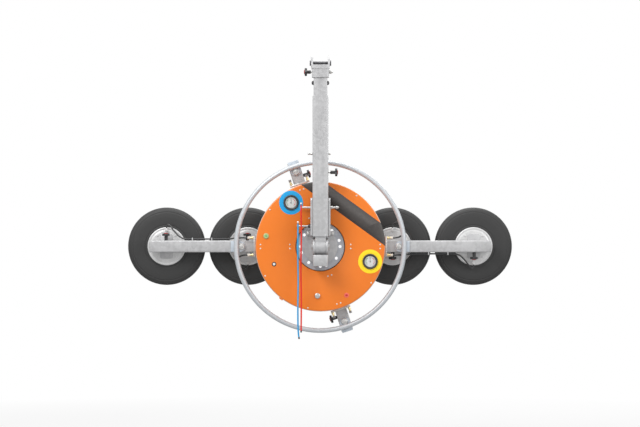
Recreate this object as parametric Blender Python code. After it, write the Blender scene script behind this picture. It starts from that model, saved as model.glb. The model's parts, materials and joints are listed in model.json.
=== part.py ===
"""Vacuum lifter for glass and sheet panels, built as separate named pieces.

Metres, +Z up. The lifter hangs from its crane pin, which lies on the world origin.
Every shape below is drawn in the lifter's own frame: X across, Y from the operator
towards the panel, Z up, with Y = 0 on the front face of the orange casing and Z = 0
on the turning axis. One empty carries that frame to its place under the crane pin.
"""
import math

import bmesh
import bpy
from mathutils import Matrix, Vector

for old_object in list(bpy.data.objects):
    bpy.data.objects.remove(old_object, do_unlink=True)

# Clearances
GAP = 0.0003                # between pieces that touch
RUNNING = 0.0005            # between faces that slide past each other
HOLE_PLAY = 0.0008          # round a fitting or a pin that goes in by hand
BUSH_PLAY = 0.0006          # between the spindle and its bush
LARGE_STEPS = 44            # facets round the casing and the ring handle
TURN_STEPS = 28             # facets round a pad or the hub
PLATE_STEPS = 20            # facets round a pad's steel plate
MID_STEPS = 20              # facets round a shaft or a gauge
SMALL_STEPS = 10            # facets round a small rod or hole
TINY_STEPS = 8              # facets round a screw or a barb

# Mast, a square tube that hangs from the crane head
MAST_SIZE = 0.080
MAST_WALL = 0.005
MAST_CORNER = 0.008
MAST_LENGTH = 0.711
MAST_TO_FACE = 0.085        # mast axis to the casing's front face
MAST_CAP = 0.008            # plate that closes the mast over the hinge barrel
BARREL_RADIUS = 0.038
BARREL_WIDTH = 0.054
EAR_RADIUS = 0.041
EAR_TO_MAST = 0.012         # from the ears' round tops to the mast's lower end

# Inner tube of the mast and the crane head on top of it
INSERT_WALL = 0.006
INSERT_SHOWN = 0.093        # length that stands out of the mast when it is closed
INSERT_PAST_CLAMP = 0.032   # from the clamp screw to the tube's lower end, fully drawn out
MAST_TRAVEL = 0.120
HEAD_SIZE = 0.086
HEAD_WALL = 0.008
HEAD_HEIGHT = 0.045
COLLAR_HEIGHT = 0.020
COLLAR_PROUD = 0.003
EAR_HEIGHT = 0.045
EAR_THICKNESS = 0.010
EAR_TIP = 0.016
CRANE_PIN_RADIUS = 0.009
CRANE_PIN_RISE = 0.008      # pin axis above the collar
PIN_HEAD_PROUD = 0.0045
PIN_HEAD_THICKNESS = 0.006
HEAD_BOLT_RADIUS = 0.006
HEAD_BOLT_DROP = 0.027      # below the foot of the head block

# Cross pin in the inner tube's long slots, and the clamp screw that presses on the tube's side
STOP_PIN_RADIUS = 0.004
STOP_PIN_DROP = 0.293       # below the mast's upper end
CLAMP_DROP = 0.387
INSERT_HIDDEN = CLAMP_DROP + MAST_TRAVEL + INSERT_PAST_CLAMP
CLAMP_RADIUS = 0.005

# Yoke between the mast and the turning chassis
FLANGE_RADIUS = 0.088
FLANGE_THICKNESS = 0.012
YOKE_EAR_THICKNESS = 0.0117
TILT_PIN_RADIUS = 0.012
STOP_BLOCK_HEIGHT = 0.049
STOP_BLOCK_REACH = 0.075    # in front of the tilt axis
STOP_BLOCK_WIDTH = 0.074
SPINDLE_RADIUS = 0.025

# Lock bracket round the back of the mast
CHEEK_THICKNESS = 0.010
CHEEK_DEPTH = 0.100
CHEEK_BOTTOM = 0.056
CHEEK_TOP = 0.247
CHEEK_TO_CASING = 0.0125
BRACKET_WEB = 0.007
BRACKET_FOOT = 0.072        # half width over the feet
BOLT_RADIUS = 0.004

# Lock levers and their pull cords
LOCK_SHAFT_RADIUS = 0.005
LOCK_SHAFT_DEPTH = 0.024    # in front of the casing
TILT_LOCK_HEIGHT = 0.199
TURN_LOCK_HEIGHT = 0.104
TILT_CORD_X = -0.093
TURN_CORD_X = -0.109
CRANK_LENGTH = 0.060
CRANK_RISE = math.radians(17.5)
CRANK_RADIUS = 0.0035
CRANK_EYE_RADIUS = 0.0065
CRANK_EYE_HALF = 0.004      # half the eye's thickness
SHAFT_PAST_CRANK = 0.010
LOCK_SHAFT_RIGHT = 0.094    # right end of the tilt lock's shaft
LOCK_COLLAR_RADIUS = 0.0085
LOCK_COLLAR_LENGTH = 0.011
LOCK_COLLAR_GAP = 0.0012    # between a cheek and the collar outside it
OUTER_COLLAR_START = 0.078
CORD_DIAMETER = 0.006
CORD_STRAIGHT = 0.05        # straight run below the eye
TILT_CORD_END = -0.435
TURN_CORD_END = -0.468
TILT_CORD_DRIFT = ((0.25, 0.001), (0.5, -0.001), (0.75, 0.001), (1.0, 0.0))
TURN_CORD_DRIFT = ((0.25, -0.0005), (0.5, 0.001), (0.75, -0.0005), (0.92, 0.001), (1.0, 0.006))
PLUNGER_RADIUS = 0.0065

# Index plate and hub
INDEX_RADIUS = 0.1222
INDEX_THICKNESS = 0.012
INDEX_HOLE_CIRCLE = 0.1007
INDEX_HOLE_RADIUS = 0.0078
INDEX_ANGLES = (0.0, 18.0, 54.0)
HUB_RING_OUTER = 0.122
HUB_RING_WALL = 0.010
BEARING_TUBE_OUTER = 0.052
BEARING_TUBE_WALL = 0.010
WEB_THICKNESS = 0.010
WEB_ANGLE = 36.0

# Orange casing
CASING_RADIUS = 0.331
CASING_DEPTH = 0.088
CASING_SHEET = 0.003
CASING_EDGE = 0.008
OPENING_RADIUS = 0.126
BASE_PLATE_THICKNESS = 0.004

# Beams, ring handle and extension arms
BEAM_SIZE = 0.060
BEAM_WALL = 0.004
BEAM_CORNER = 0.006
BEAM_END = 0.452
BEAM_ANGLES = {"right": 0.0, "top": 108.0, "left": 180.0, "bottom": 288.0}
RING_RADIUS = 0.430
RING_TUBE = 0.0125
RING_FACETS = 8
RING_SEAT = 0.002           # depth of the weld between the ring and its lugs
LUG_WIDTH = 0.056
LUG_THICKNESS = 0.008
LUG_BOLT_CIRCLE = 0.403
LUG_END = 0.458
SPIGOT_WALL = 0.004
SPIGOT_REACH = 0.036

# Suction pads
INNER_PAD = 0.373
PAD_RADIUS = 0.200
PAD_SPACE = 0.018           # between an inner pad and its outer neighbour
OUTER_PAD = INNER_PAD + 2 * PAD_RADIUS + PAD_SPACE
ARM_PAST_PAD = 0.084
ARM_END = OUTER_PAD + ARM_PAST_PAD
PAD_PLATE_RADIUS = 0.098
PAD_PLATE_THICKNESS = 0.010
PAD_DEPTH = 0.052
PAD_CAVITY = 0.018
LIP_WIDTH = 0.014           # sealing lip, from the rubber's outer edge inwards
RUBBER_SHOULDER = ((0.060, 0.0), (0.022, 0.004), (0.006, 0.012), (0.0, 0.024), (0.0, 0.036))
BALL_RADIUS = 0.014
STEM_NECK = 0.009
PORT_OFFSET = 0.085
PORT_RADIUS = 0.0065
PORT_FOOT = 0.0075          # radius of the stub between the port and the plate
PORT_BACK = 0.006
PORT_REACH = 0.009          # from the stub's axis to the port's mouth
CUP_TO_PIVOT = 0.0125
BORE_TO_PIVOT = 0.0095

# Star knobs and hose couplings
STAR_RADIUS = 0.021
STAR_THICKNESS = 0.012
STAR_LOBES = 5
KNOB_NECK = 0.0085
KNOB_REACH = 0.066          # from the axis of the tube to the star's outer face
FORK_KNOB_REACH = 0.143     # from the foot of its screw to the star's outer face
CLAMP_KNOB_REACH = 0.086    # from the mast's axis to the star's outer face
CLAMP_NECK_GAP = 0.010      # from the mast's side to the foot of the knob's neck
HOSE_DIAMETER = 0.008
HOSE_GAP = 0.0006           # between a hose and its coupling
COUPLING_RADIUS = 0.0065
COUPLING_OFFSET = 0.044
COUPLING_END = 0.372
COUPLING_DEPTH = 0.072
MANIFOLD_HEIGHT = 0.016
MANIFOLD_REACH = 0.010

# Places that follow from the sizes above
MAST_BOTTOM = EAR_RADIUS + EAR_TO_MAST
MAST_TOP = MAST_BOTTOM + MAST_LENGTH
HEAD_FOOT = MAST_TOP + INSERT_SHOWN
COLLAR_FOOT = HEAD_FOOT + HEAD_HEIGHT
COLLAR_TOP = COLLAR_FOOT + COLLAR_HEIGHT
CRANE_PIN_HEIGHT = COLLAR_TOP + CRANE_PIN_RISE
STOP_PIN_HEIGHT = MAST_TOP - STOP_PIN_DROP
CLAMP_HEIGHT = MAST_TOP - CLAMP_DROP
HEAD_BOLT_HEIGHT = HEAD_FOOT - HEAD_BOLT_DROP
HEAD_KNOB_HEIGHT = HEAD_FOOT + 0.62 * HEAD_HEIGHT
MAST_BACK = -MAST_TO_FACE + MAST_SIZE / 2
INSERT_SIZE = MAST_SIZE - 2 * (MAST_WALL + RUNNING)
FLANGE_BACK = 0.0092
FLANGE_FRONT = FLANGE_BACK - FLANGE_THICKNESS
INDEX_FRONT = FLANGE_BACK + GAP
INDEX_BACK = INDEX_FRONT + INDEX_THICKNESS
BASE_FRONT = CASING_DEPTH + GAP
BEAM_FRONT = BASE_FRONT + BASE_PLATE_THICKNESS + GAP
BEAM_MID = BEAM_FRONT + BEAM_SIZE / 2
BEAM_BACK = BEAM_FRONT + BEAM_SIZE
LUG_BACK = BEAM_FRONT - GAP
LUG_FRONT = LUG_BACK - LUG_THICKNESS
RING_MID = LUG_FRONT - RING_TUBE + RING_SEAT
PAD_PIVOT = BEAM_BACK + BALL_RADIUS + 0.004
CUP_BORE = BALL_RADIUS + 0.0007
CUP_OUTER = CUP_BORE + 0.0095
PAD_FRONT = PAD_PIVOT + 0.007
PAD_BACK = PAD_FRONT + PAD_PLATE_THICKNESS
RUBBER_FRONT = PAD_BACK + GAP
LIP_BACK = RUBBER_FRONT + PAD_DEPTH
SHAFT_Y = -LOCK_SHAFT_DEPTH
CHEEK_INNER = MAST_SIZE / 2 + RUNNING
CHEEK_OUTER = CHEEK_INNER + CHEEK_THICKNESS
EAR_OUTER = BARREL_WIDTH / 2 + RUNNING + YOKE_EAR_THICKNESS

# Small places that two or more pieces share
PLUNGER_ANGLE = 108.0
LATCH_WIDTH = 0.020
LATCH_HEIGHT = TILT_LOCK_HEIGHT - 0.028
FINGER_RISE = 0.013
FINGER_RADIUS = 0.0015
FINGER_REACH = 0.011
CORD_TO_EYE = 0.0006
BRACKET_BOLT_X = 0.061
BRACKET_BOLT_Z = 0.066
NUT_FRONT = BEAM_BACK + 0.006
PADS = {"inner_left_pad": (-INNER_PAD, -1), "inner_right_pad": (INNER_PAD, 1),
        "outer_left_pad": (-OUTER_PAD, 1), "outer_right_pad": (OUTER_PAD, -1)}
GAUGES = {"blue": (-0.149, 0.224), "yellow": (0.254, -0.076)}
CONTROLS = {"start_button": (-0.2765, 0.054), "vent_knob": (-0.0145, -0.251)}
CASING_PLACES = {**CONTROLS, "gauge_blue": GAUGES["blue"], "gauge_yellow": GAUGES["yellow"]}
CASING_HOLES = {"start_button": 0.0125, "vent_knob": 0.006, "gauge_blue": 0.028,
                "gauge_yellow": 0.028}
GAUGE_RADIUS = 0.039
DIAL_FRONT = -0.002
BEZEL_FRONT = -0.0085
GAUGE_DEPTH = 0.030
NEEDLE_HALF = 0.0012        # half the pointer's width
NEEDLE_TAIL = 0.006
NEEDLE_POINT = 0.020
FITTING_DEPTH = 0.012       # of the start button and the vent knob behind the casing's front
START_PROUD = 0.009
VENT_PROUD = 0.010
VENT_RADIUS = 0.014
VENT_GRIP = (0.0125, 0.0022)    # half length and half width of the bar across the vent knob
PUMPS = {"vacuum_pump_left": (-0.225, 0.115), "vacuum_pump_right": (0.190, -0.150)}
PUMP_WIDTH = 0.090
PUMP_HEIGHT = 0.060
PUMP_DEPTH = 0.060
PUMP_HEAD_RADIUS = 0.022
PUMP_HEAD_REACH = 0.055
LUG_BOLT_RADIUS = 0.006
COUPLING_START = CASING_RADIUS + GAP
HOOK_PLACES = (0.556, 0.655)

# Bent guard and gusset at an arm's root: outlines from the end of the beam
GUARD = [(0.010, -0.028), (0.010, -0.044), (-0.018, -0.076), (-0.022, -0.072), (0.005, -0.042),
         (0.005, -0.028)]
GUARD_WIDTH = 0.016
GUSSET = [(0.008, 0.028), (-0.003, 0.050), (0.010, 0.033), (0.028, 0.028)]
GUSSET_THICKNESS = 0.006
KNOB_STUD_FOOT = 0.0165
PORT_DEPTH = PAD_FRONT - 0.014

# Joint axes: each moving piece hangs from an empty on its own axis
BODIES = {}


def joint_empty(name, parent, place):
    """Add the empty that marks a moving body's axis, at a place in the lifter's frame."""
    empty = bpy.data.objects.new(name + "_axis", None)
    bpy.context.scene.collection.objects.link(empty)
    spot = Vector(place)
    if parent:
        empty.parent = BODIES[parent][0]
        empty.location = spot - BODIES[parent][1]
    else:
        empty.location = spot + Vector((0, MAST_TO_FACE, -CRANE_PIN_HEIGHT))
    BODIES[name] = (empty, spot)


def paint(name, colour, metallic, roughness):
    """One Principled material."""
    result = bpy.data.materials.new(name)
    result.use_nodes = True
    shader = result.node_tree.nodes["Principled BSDF"]
    shader.inputs["Base Color"].default_value = (*colour, 1.0)
    shader.inputs["Metallic"].default_value = metallic
    shader.inputs["Roughness"].default_value = roughness
    return result


STEEL = paint("galvanised_steel", (0.52, 0.52, 0.53), 0.8, 0.45)
BRIGHT = paint("bright_tube", (0.62, 0.62, 0.63), 0.9, 0.3)
ZINC = paint("zinc_plated_steel", (0.6, 0.6, 0.57), 0.9, 0.35)
DARK_STEEL = paint("dark_steel", (0.08, 0.08, 0.085), 0.7, 0.5)
ORANGE = paint("orange_coating", (0.87, 0.23, 0.035), 0.0, 0.4)
RUBBER = paint("black_rubber", (0.06, 0.06, 0.06), 0.0, 0.7)
PLASTIC = paint("black_plastic", (0.03, 0.03, 0.03), 0.0, 0.45)
BRASS = paint("brass", (0.62, 0.5, 0.24), 0.9, 0.35)
BRONZE = paint("bearing_bronze", (0.5, 0.3, 0.12), 0.9, 0.4)
GREEN = paint("green_button", (0.4, 0.5, 0.22), 0.0, 0.5)
RED_CORD = paint("red_cord", (0.7, 0.04, 0.03), 0.0, 0.7)
BLUE_CORD = paint("blue_cord", (0.03, 0.3, 0.6), 0.0, 0.7)


def add_piece(name, mesh, material, body):
    """Turn a bmesh in the lifter's frame into a named piece that hangs from its body's empty."""
    bmesh.ops.recalc_face_normals(mesh, faces=mesh.faces)
    empty, spot = BODIES[body]
    bmesh.ops.translate(mesh, verts=mesh.verts, vec=-spot)
    data = bpy.data.meshes.new(name)
    mesh.to_mesh(data)
    mesh.free()
    data.shade_smooth()
    data.set_sharp_from_angle(angle=math.radians(35))
    data.materials.append(material)
    piece = bpy.data.objects.new(name, data)
    bpy.context.scene.collection.objects.link(piece)
    piece.parent = empty
    return piece


def boolean(piece, tool_mesh, operation, body):
    """Unite a piece with another form, or cut the form out of it."""
    tool = add_piece(piece.name + "_tool_%d" % len(piece.modifiers), tool_mesh, STEEL, body)
    tool.hide_render = True
    tool.display_type = "WIRE"
    step = piece.modifiers.new(operation.lower(), "BOOLEAN")
    step.operation = operation
    step.solver = "EXACT"
    step.object = tool


def along(start, end):
    """Matrix that lays the Z axis from start towards end."""
    run = Vector(end) - Vector(start)
    return Matrix.Translation(start) @ run.to_track_quat("Z", "Y").to_matrix().to_4x4()


def add_rod(mesh, radius, start, end, steps=SMALL_STEPS, end_radius=None):
    """Solid round bar, or a cone where the end radius differs."""
    length = (Vector(end) - Vector(start)).length
    place = along(start, end) @ Matrix.Translation((0, 0, length / 2))
    far = radius if end_radius is None else end_radius
    bmesh.ops.create_cone(mesh, cap_ends=True, segments=steps, radius1=radius, radius2=far,
                          depth=length, matrix=place)


def rod(*args, **settings):
    mesh = bmesh.new()
    add_rod(mesh, *args, **settings)
    return mesh


def add_block(mesh, low, high, bevel=0.0):
    """Box between two corners, with its edges taken off where a bevel is given."""
    low = Vector(low)
    high = Vector(high)
    scale = Matrix.Diagonal((*(high - low), 1))
    made = bmesh.ops.create_cube(mesh, size=1.0, matrix=Matrix.Translation((low + high) / 2) @ scale)
    if bevel:
        edges = list({edge for vert in made["verts"] for edge in vert.link_edges})
        bmesh.ops.bevel(mesh, geom=edges, offset=bevel, segments=1, profile=0.5, affect="EDGES",
                        material=-1)


def block(low, high, bevel=0.0):
    mesh = bmesh.new()
    add_block(mesh, low, high, bevel)
    return mesh


def rounded_rectangle(width, height, corner, steps=2):
    """Outline of a rectangle with round corners, anticlockwise about its middle."""
    points = []
    for turn in range(4):
        angle = turn * math.pi / 2
        reach_x = (width if turn % 2 == 0 else height) / 2 - corner
        reach_y = (height if turn % 2 == 0 else width) / 2 - corner
        for step in range(steps + 1):
            bend = math.pi / 2 * step / steps
            x = reach_x + corner * math.cos(bend)
            y = reach_y + corner * math.sin(bend)
            points.append((x * math.cos(angle) - y * math.sin(angle),
                           x * math.sin(angle) + y * math.cos(angle)))
    return points


def circle(radius, steps=SMALL_STEPS, middle=(0.0, 0.0)):
    return [(middle[0] + radius * math.cos(2 * math.pi * i / steps),
             middle[1] + radius * math.sin(2 * math.pi * i / steps)) for i in range(steps)]


def add_prism(mesh, outline, depth, place, hole=None):
    """Push an outline, with or without a hole of as many points, along Z by the depth."""
    loops = []
    for ring in (outline, hole):
        if ring:
            verts = [mesh.verts.new((x, y, 0)) for x, y in ring]
            loops.append(verts)
    if hole:
        edges = []
        for verts in loops:
            for i, vert in enumerate(verts):
                edges.append(mesh.edges.new((vert, verts[(i + 1) % len(verts)])))
        faces = bmesh.ops.bridge_loops(mesh, edges=edges)["faces"]
    else:
        faces = [mesh.faces.new(loops[0])]
    pushed = bmesh.ops.extrude_face_region(mesh, geom=faces)["geom"]
    top = [item for item in pushed if isinstance(item, bmesh.types.BMVert)]
    bmesh.ops.translate(mesh, verts=top, vec=(0, 0, depth))
    bottom = [vert for verts in loops for vert in verts]
    bmesh.ops.transform(mesh, matrix=place, verts=list(set(top + bottom)))


def prism(*args, **settings):
    mesh = bmesh.new()
    add_prism(mesh, *args, **settings)
    return mesh


def add_turned(mesh, profile, middle, steps=TURN_STEPS, axis=(0, 1, 0)):
    """Spin a closed profile of (radius, distance along the axis) points about the axis."""
    place = along(middle, Vector(middle) + Vector(axis))
    verts = [mesh.verts.new((radius, 0, height)) for radius, height in profile]
    edges = [mesh.edges.new((vert, verts[(i + 1) % len(verts)])) for i, vert in enumerate(verts)]
    made = bmesh.ops.spin(mesh, geom=verts + edges, cent=(0, 0, 0), axis=(0, 0, 1),
                          angle=2 * math.pi, steps=steps, use_merge=True)
    new = {item for item in made["geom_last"] if isinstance(item, bmesh.types.BMVert)}
    grown = set(verts) | new
    border = list(grown)
    while border:
        vert = border.pop()
        for edge in vert.link_edges:
            other = edge.other_vert(vert)
            if other not in grown:
                grown.add(other)
                border.append(other)
    grown = [vert for vert in grown if vert.is_valid]
    bmesh.ops.transform(mesh, matrix=place, verts=grown)
    bmesh.ops.remove_doubles(mesh, verts=grown, dist=1e-6)


def turned(*args, **settings):
    mesh = bmesh.new()
    add_turned(mesh, *args, **settings)
    return mesh


def turn_about_y(degrees):
    """Matrix that turns a shape drawn along +X to an angle of the front view."""
    return Matrix.Rotation(-math.radians(degrees), 4, "Y")


def polar(radius, degrees, depth=0.0):
    angle = math.radians(degrees)
    return Vector((radius * math.cos(angle), depth, radius * math.sin(angle)))


def across_plane(x_axis, y_axis, origin):
    """Matrix that lays an outline's X and Y along two axes, with Z as their cross product."""
    x_axis = Vector(x_axis)
    y_axis = Vector(y_axis)
    z_axis = x_axis.cross(y_axis)
    turn = Matrix((x_axis, y_axis, z_axis)).transposed().to_4x4()
    return Matrix.Translation(origin) @ turn


def square_tube(size, wall, corner, length, place):
    """Hollow square tube with round corners, open at both ends."""
    outer = rounded_rectangle(size, size, corner)
    inner = rounded_rectangle(size - 2 * wall, size - 2 * wall, max(corner - wall, 0.001))
    return prism(outer, length, place, hole=inner)


def hose(name, route, diameter, material, body, spacing=0.02):
    """Round cord or hose along a smooth curve through the points of its route."""
    knots = [Vector(point) for point in route]
    ends = [2 * knots[0] - knots[1]] + knots + [2 * knots[-1] - knots[-2]]
    smooth = []
    for i in range(1, len(ends) - 2):
        before, start, stop, after = ends[i - 1:i + 3]
        pieces = max(1, round((stop - start).length / spacing))
        for step in range(pieces):
            t = step / pieces
            smooth.append(0.5 * (2 * start + (stop - before) * t
                                 + (2 * before - 5 * start + 4 * stop - after) * t ** 2
                                 + (3 * start - before - 3 * stop + after) * t ** 3))
    smooth.append(knots[-1])
    curve = bpy.data.curves.new(name, "CURVE")
    curve.dimensions = "3D"
    curve.bevel_depth = diameter / 2
    curve.bevel_resolution = 2
    curve.use_fill_caps = True
    spline = curve.splines.new("POLY")
    spline.points.add(len(smooth) - 1)
    empty, spot = BODIES[body]
    for point, place in zip(spline.points, smooth):
        point.co = (*(place - spot), 1.0)
    curve.materials.append(material)
    piece = bpy.data.objects.new(name, curve)
    bpy.context.scene.collection.objects.link(piece)
    piece.parent = empty


def star_knob(name, foot, direction, reach, stud, body):
    """Star knob on a conical neck, with its screw running back to the foot by the stud length."""
    outline = []
    steps = STAR_LOBES * 4
    for i in range(steps):
        angle = 2 * math.pi * i / steps
        radius = STAR_RADIUS * (0.86 + 0.14 * math.cos(STAR_LOBES * angle))
        outline.append((radius * math.cos(angle), radius * math.sin(angle)))
    foot = Vector(foot)
    direction = Vector(direction).normalized()
    end = foot + direction * reach
    star_foot = end - direction * STAR_THICKNESS
    mesh = prism(outline, STAR_THICKNESS, along(star_foot, end))
    caps = [face for face in mesh.faces if len(face.verts) > 4]
    rims = list({edge for face in caps for edge in face.edges})
    bmesh.ops.bevel(mesh, geom=rims, offset=0.0018, segments=1, profile=0.5, affect="EDGES",
                    material=-1)
    piece = add_piece(name, mesh, PLASTIC, body)
    neck_foot = foot + direction * stud
    inside = star_foot + direction * STAR_THICKNESS / 2
    boolean(piece, rod(KNOB_NECK, neck_foot, inside), "UNION", body)
    boolean(piece, rod(CLAMP_RADIUS, foot, neck_foot + direction * 0.003, SMALL_STEPS), "UNION", body)
    return piece


def joint_axes():
    """The tree of moving bodies, from the crane head outwards."""
    axis_y = -MAST_TO_FACE
    joint_empty("head", None, (0, axis_y, CRANE_PIN_HEIGHT))
    joint_empty("fork_knob", "head", (0, axis_y, HEAD_KNOB_HEIGHT))
    joint_empty("mast", "head", (0, axis_y, MAST_TOP))
    joint_empty("clamp_knob", "mast", (0, axis_y, CLAMP_HEIGHT))
    joint_empty("yoke", "mast", (0, axis_y, 0))
    joint_empty("tilt_lock_lever", "yoke", (0, SHAFT_Y, TILT_LOCK_HEIGHT))
    joint_empty("turn_lock_lever", "yoke", (0, SHAFT_Y, TURN_LOCK_HEIGHT))
    joint_empty("tilt_cord", "yoke", (TILT_CORD_X, SHAFT_Y - CRANK_LENGTH, TILT_LOCK_HEIGHT))
    joint_empty("turn_cord", "yoke", (TURN_CORD_X, SHAFT_Y - CRANK_LENGTH, TURN_LOCK_HEIGHT))
    joint_empty("plunger", "yoke", polar(INDEX_HOLE_CIRCLE, PLUNGER_ANGLE))
    joint_empty("chassis", "yoke", (0, 0, 0))
    for side, angle in BEAM_ANGLES.items():
        joint_empty(side + "_knob", "chassis", polar(INNER_PAD, angle, BEAM_MID))
    for name, (x, _side) in PADS.items():
        joint_empty(name, "chassis", (x, PAD_PIVOT, 0))
    for side, sign in (("left", -1), ("right", 1)):
        joint_empty("outer_" + side + "_knob", "chassis", (sign * OUTER_PAD, BEAM_MID, 0))
    for name, (x, z) in CONTROLS.items():
        joint_empty(name, "chassis", (x, 0, z))
    for name, (x, z) in GAUGES.items():
        joint_empty(name + "_needle", "chassis", (x, 0, z))


def crane_fork():
    """Open box on the inner tube, with two pointed ears that hold the crane pin."""
    half = HEAD_SIZE / 2
    axis_y = -MAST_TO_FACE
    middle = Matrix.Translation((0, axis_y, HEAD_FOOT + GAP))
    outer = rounded_rectangle(HEAD_SIZE, HEAD_SIZE, 0.006)
    piece = add_piece("crane_fork", prism(outer, COLLAR_FOOT - HEAD_FOOT, middle), STEEL, "head")
    collar = rounded_rectangle(HEAD_SIZE + 2 * COLLAR_PROUD, HEAD_SIZE + 2 * COLLAR_PROUD, 0.007)
    boolean(piece, prism(collar, COLLAR_HEIGHT, Matrix.Translation((0, axis_y, COLLAR_FOOT - GAP))),
            "UNION", "head")
    for sign in (-1, 1):
        outline = [(-0.030, -0.012), (0.030, -0.012), (0.024, CRANE_PIN_RISE + 0.012),
                   (EAR_TIP / 2, EAR_HEIGHT), (-EAR_TIP / 2, EAR_HEIGHT),
                   (-0.024, CRANE_PIN_RISE + 0.012)]
        place = across_plane((0, 1, 0), (0, 0, 1), (sign * half - EAR_THICKNESS / 2, axis_y, COLLAR_TOP))
        boolean(piece, prism(outline, EAR_THICKNESS, place), "UNION", "head")
    room = HEAD_SIZE - 2 * HEAD_WALL
    hollow = rounded_rectangle(room, room, 0.004)
    floor = HEAD_FOOT + HEAD_WALL
    boolean(piece, prism(hollow, COLLAR_TOP - floor + 0.01, Matrix.Translation((0, axis_y, floor))),
            "DIFFERENCE", "head")
    reach = half + 0.02
    boolean(piece, rod(CRANE_PIN_RADIUS + GAP, (-reach, axis_y, CRANE_PIN_HEIGHT),
                       (reach, axis_y, CRANE_PIN_HEIGHT)), "DIFFERENCE", "head")
    boolean(piece, rod(CLAMP_RADIUS + GAP, (-reach, axis_y, HEAD_KNOB_HEIGHT),
                       (reach, axis_y, HEAD_KNOB_HEIGHT), SMALL_STEPS), "DIFFERENCE", "head")


def crane_pin():
    """Dark pin between the ears, with a flat head on one end and a ring on the other."""
    axis_y = -MAST_TO_FACE
    ear = HEAD_SIZE / 2 + EAR_THICKNESS / 2 + GAP
    half = ear + 0.004
    mesh = rod(CRANE_PIN_RADIUS, (-half, axis_y, CRANE_PIN_HEIGHT), (half, axis_y, CRANE_PIN_HEIGHT))
    piece = add_piece("crane_pin", mesh, DARK_STEEL, "head")
    for sign in (-1, 1):
        start = (sign * ear, axis_y, CRANE_PIN_HEIGHT)
        end = (sign * (ear + PIN_HEAD_THICKNESS), axis_y, CRANE_PIN_HEIGHT)
        boolean(piece, rod(CRANE_PIN_RADIUS + PIN_HEAD_PROUD, start, end), "UNION", "head")


def insert_tube():
    """Inner mast tube: welded under the head and slotted for the cross pin."""
    foot = MAST_TOP - INSERT_HIDDEN
    place = Matrix.Translation((0, -MAST_TO_FACE, foot))
    corner = MAST_CORNER - MAST_WALL
    mesh = square_tube(INSERT_SIZE, INSERT_WALL, corner + 0.002, HEAD_FOOT - foot, place)
    piece = add_piece("insert_tube", mesh, STEEL, "head")
    wide = STOP_PIN_RADIUS + HOLE_PLAY
    slot_top = STOP_PIN_HEIGHT + wide
    slot_foot = STOP_PIN_HEIGHT - MAST_TRAVEL - wide
    low = (-INSERT_SIZE, -MAST_TO_FACE - wide, slot_foot)
    high = (INSERT_SIZE, -MAST_TO_FACE + wide, slot_top)
    boolean(piece, block(low, high), "DIFFERENCE", "head")
    drill = rod(HEAD_BOLT_RADIUS + GAP, (-INSERT_SIZE, -MAST_TO_FACE, HEAD_BOLT_HEIGHT),
                (INSERT_SIZE, -MAST_TO_FACE, HEAD_BOLT_HEIGHT), SMALL_STEPS)
    boolean(piece, drill, "DIFFERENCE", "head")


def cross_bolt(name, height, radius, half_length, head_radius, head_height, material, body):
    """Bolt through the mast along X, with a round head on each end."""
    axis_y = -MAST_TO_FACE
    mesh = rod(radius, (-half_length, axis_y, height), (half_length, axis_y, height), SMALL_STEPS)
    piece = add_piece(name, mesh, material, body)
    for sign in (-1, 1):
        start = (sign * (half_length - 0.001), axis_y, height)
        end = (sign * (half_length + head_height), axis_y, height)
        boolean(piece, rod(head_radius, start, end, SMALL_STEPS, head_radius * 0.75), "UNION", body)


def mast_tube():
    """Outer mast tube with the hinge barrel welded under it, its cross holes and the latch's slot."""
    axis_y = -MAST_TO_FACE
    place = Matrix.Translation((0, axis_y, MAST_BOTTOM))
    mesh = square_tube(MAST_SIZE, MAST_WALL, MAST_CORNER, MAST_LENGTH, place)
    piece = add_piece("mast_tube", mesh, STEEL, "mast")
    for foot, height, radius in ((-MAST_SIZE, STOP_PIN_HEIGHT, STOP_PIN_RADIUS),
                                 (0, CLAMP_HEIGHT, CLAMP_RADIUS)):
        drill = rod(radius + GAP, (foot, axis_y, height), (MAST_SIZE, axis_y, height), SMALL_STEPS)
        boolean(piece, drill, "DIFFERENCE", "mast")
    low = (-LATCH_WIDTH / 2 - 0.002, MAST_BACK - MAST_WALL - 0.002, LATCH_HEIGHT - 0.012)
    high = (LATCH_WIDTH / 2 + 0.002, MAST_BACK + 0.002, LATCH_HEIGHT + 0.010)
    boolean(piece, block(low, high), "DIFFERENCE", "mast")
    cap = rounded_rectangle(MAST_SIZE, MAST_SIZE, MAST_CORNER)
    boolean(piece, prism(cap, MAST_CAP, Matrix.Translation((0, axis_y, MAST_BOTTOM - 0.0005))), "UNION",
            "mast")
    half = BARREL_WIDTH / 2
    boolean(piece, rod(BARREL_RADIUS, (-half, axis_y, 0), (half, axis_y, 0), MID_STEPS), "UNION", "mast")
    low = (-half, axis_y - BARREL_RADIUS * 0.8, 0)
    boolean(piece, block(low, (half, axis_y + BARREL_RADIUS * 0.8, MAST_BOTTOM + MAST_CAP / 2)), "UNION",
            "mast")
    boolean(piece, rod(TILT_PIN_RADIUS + GAP, (-0.1, axis_y, 0), (0.1, axis_y, 0), MID_STEPS), "DIFFERENCE",
            "mast")


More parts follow.
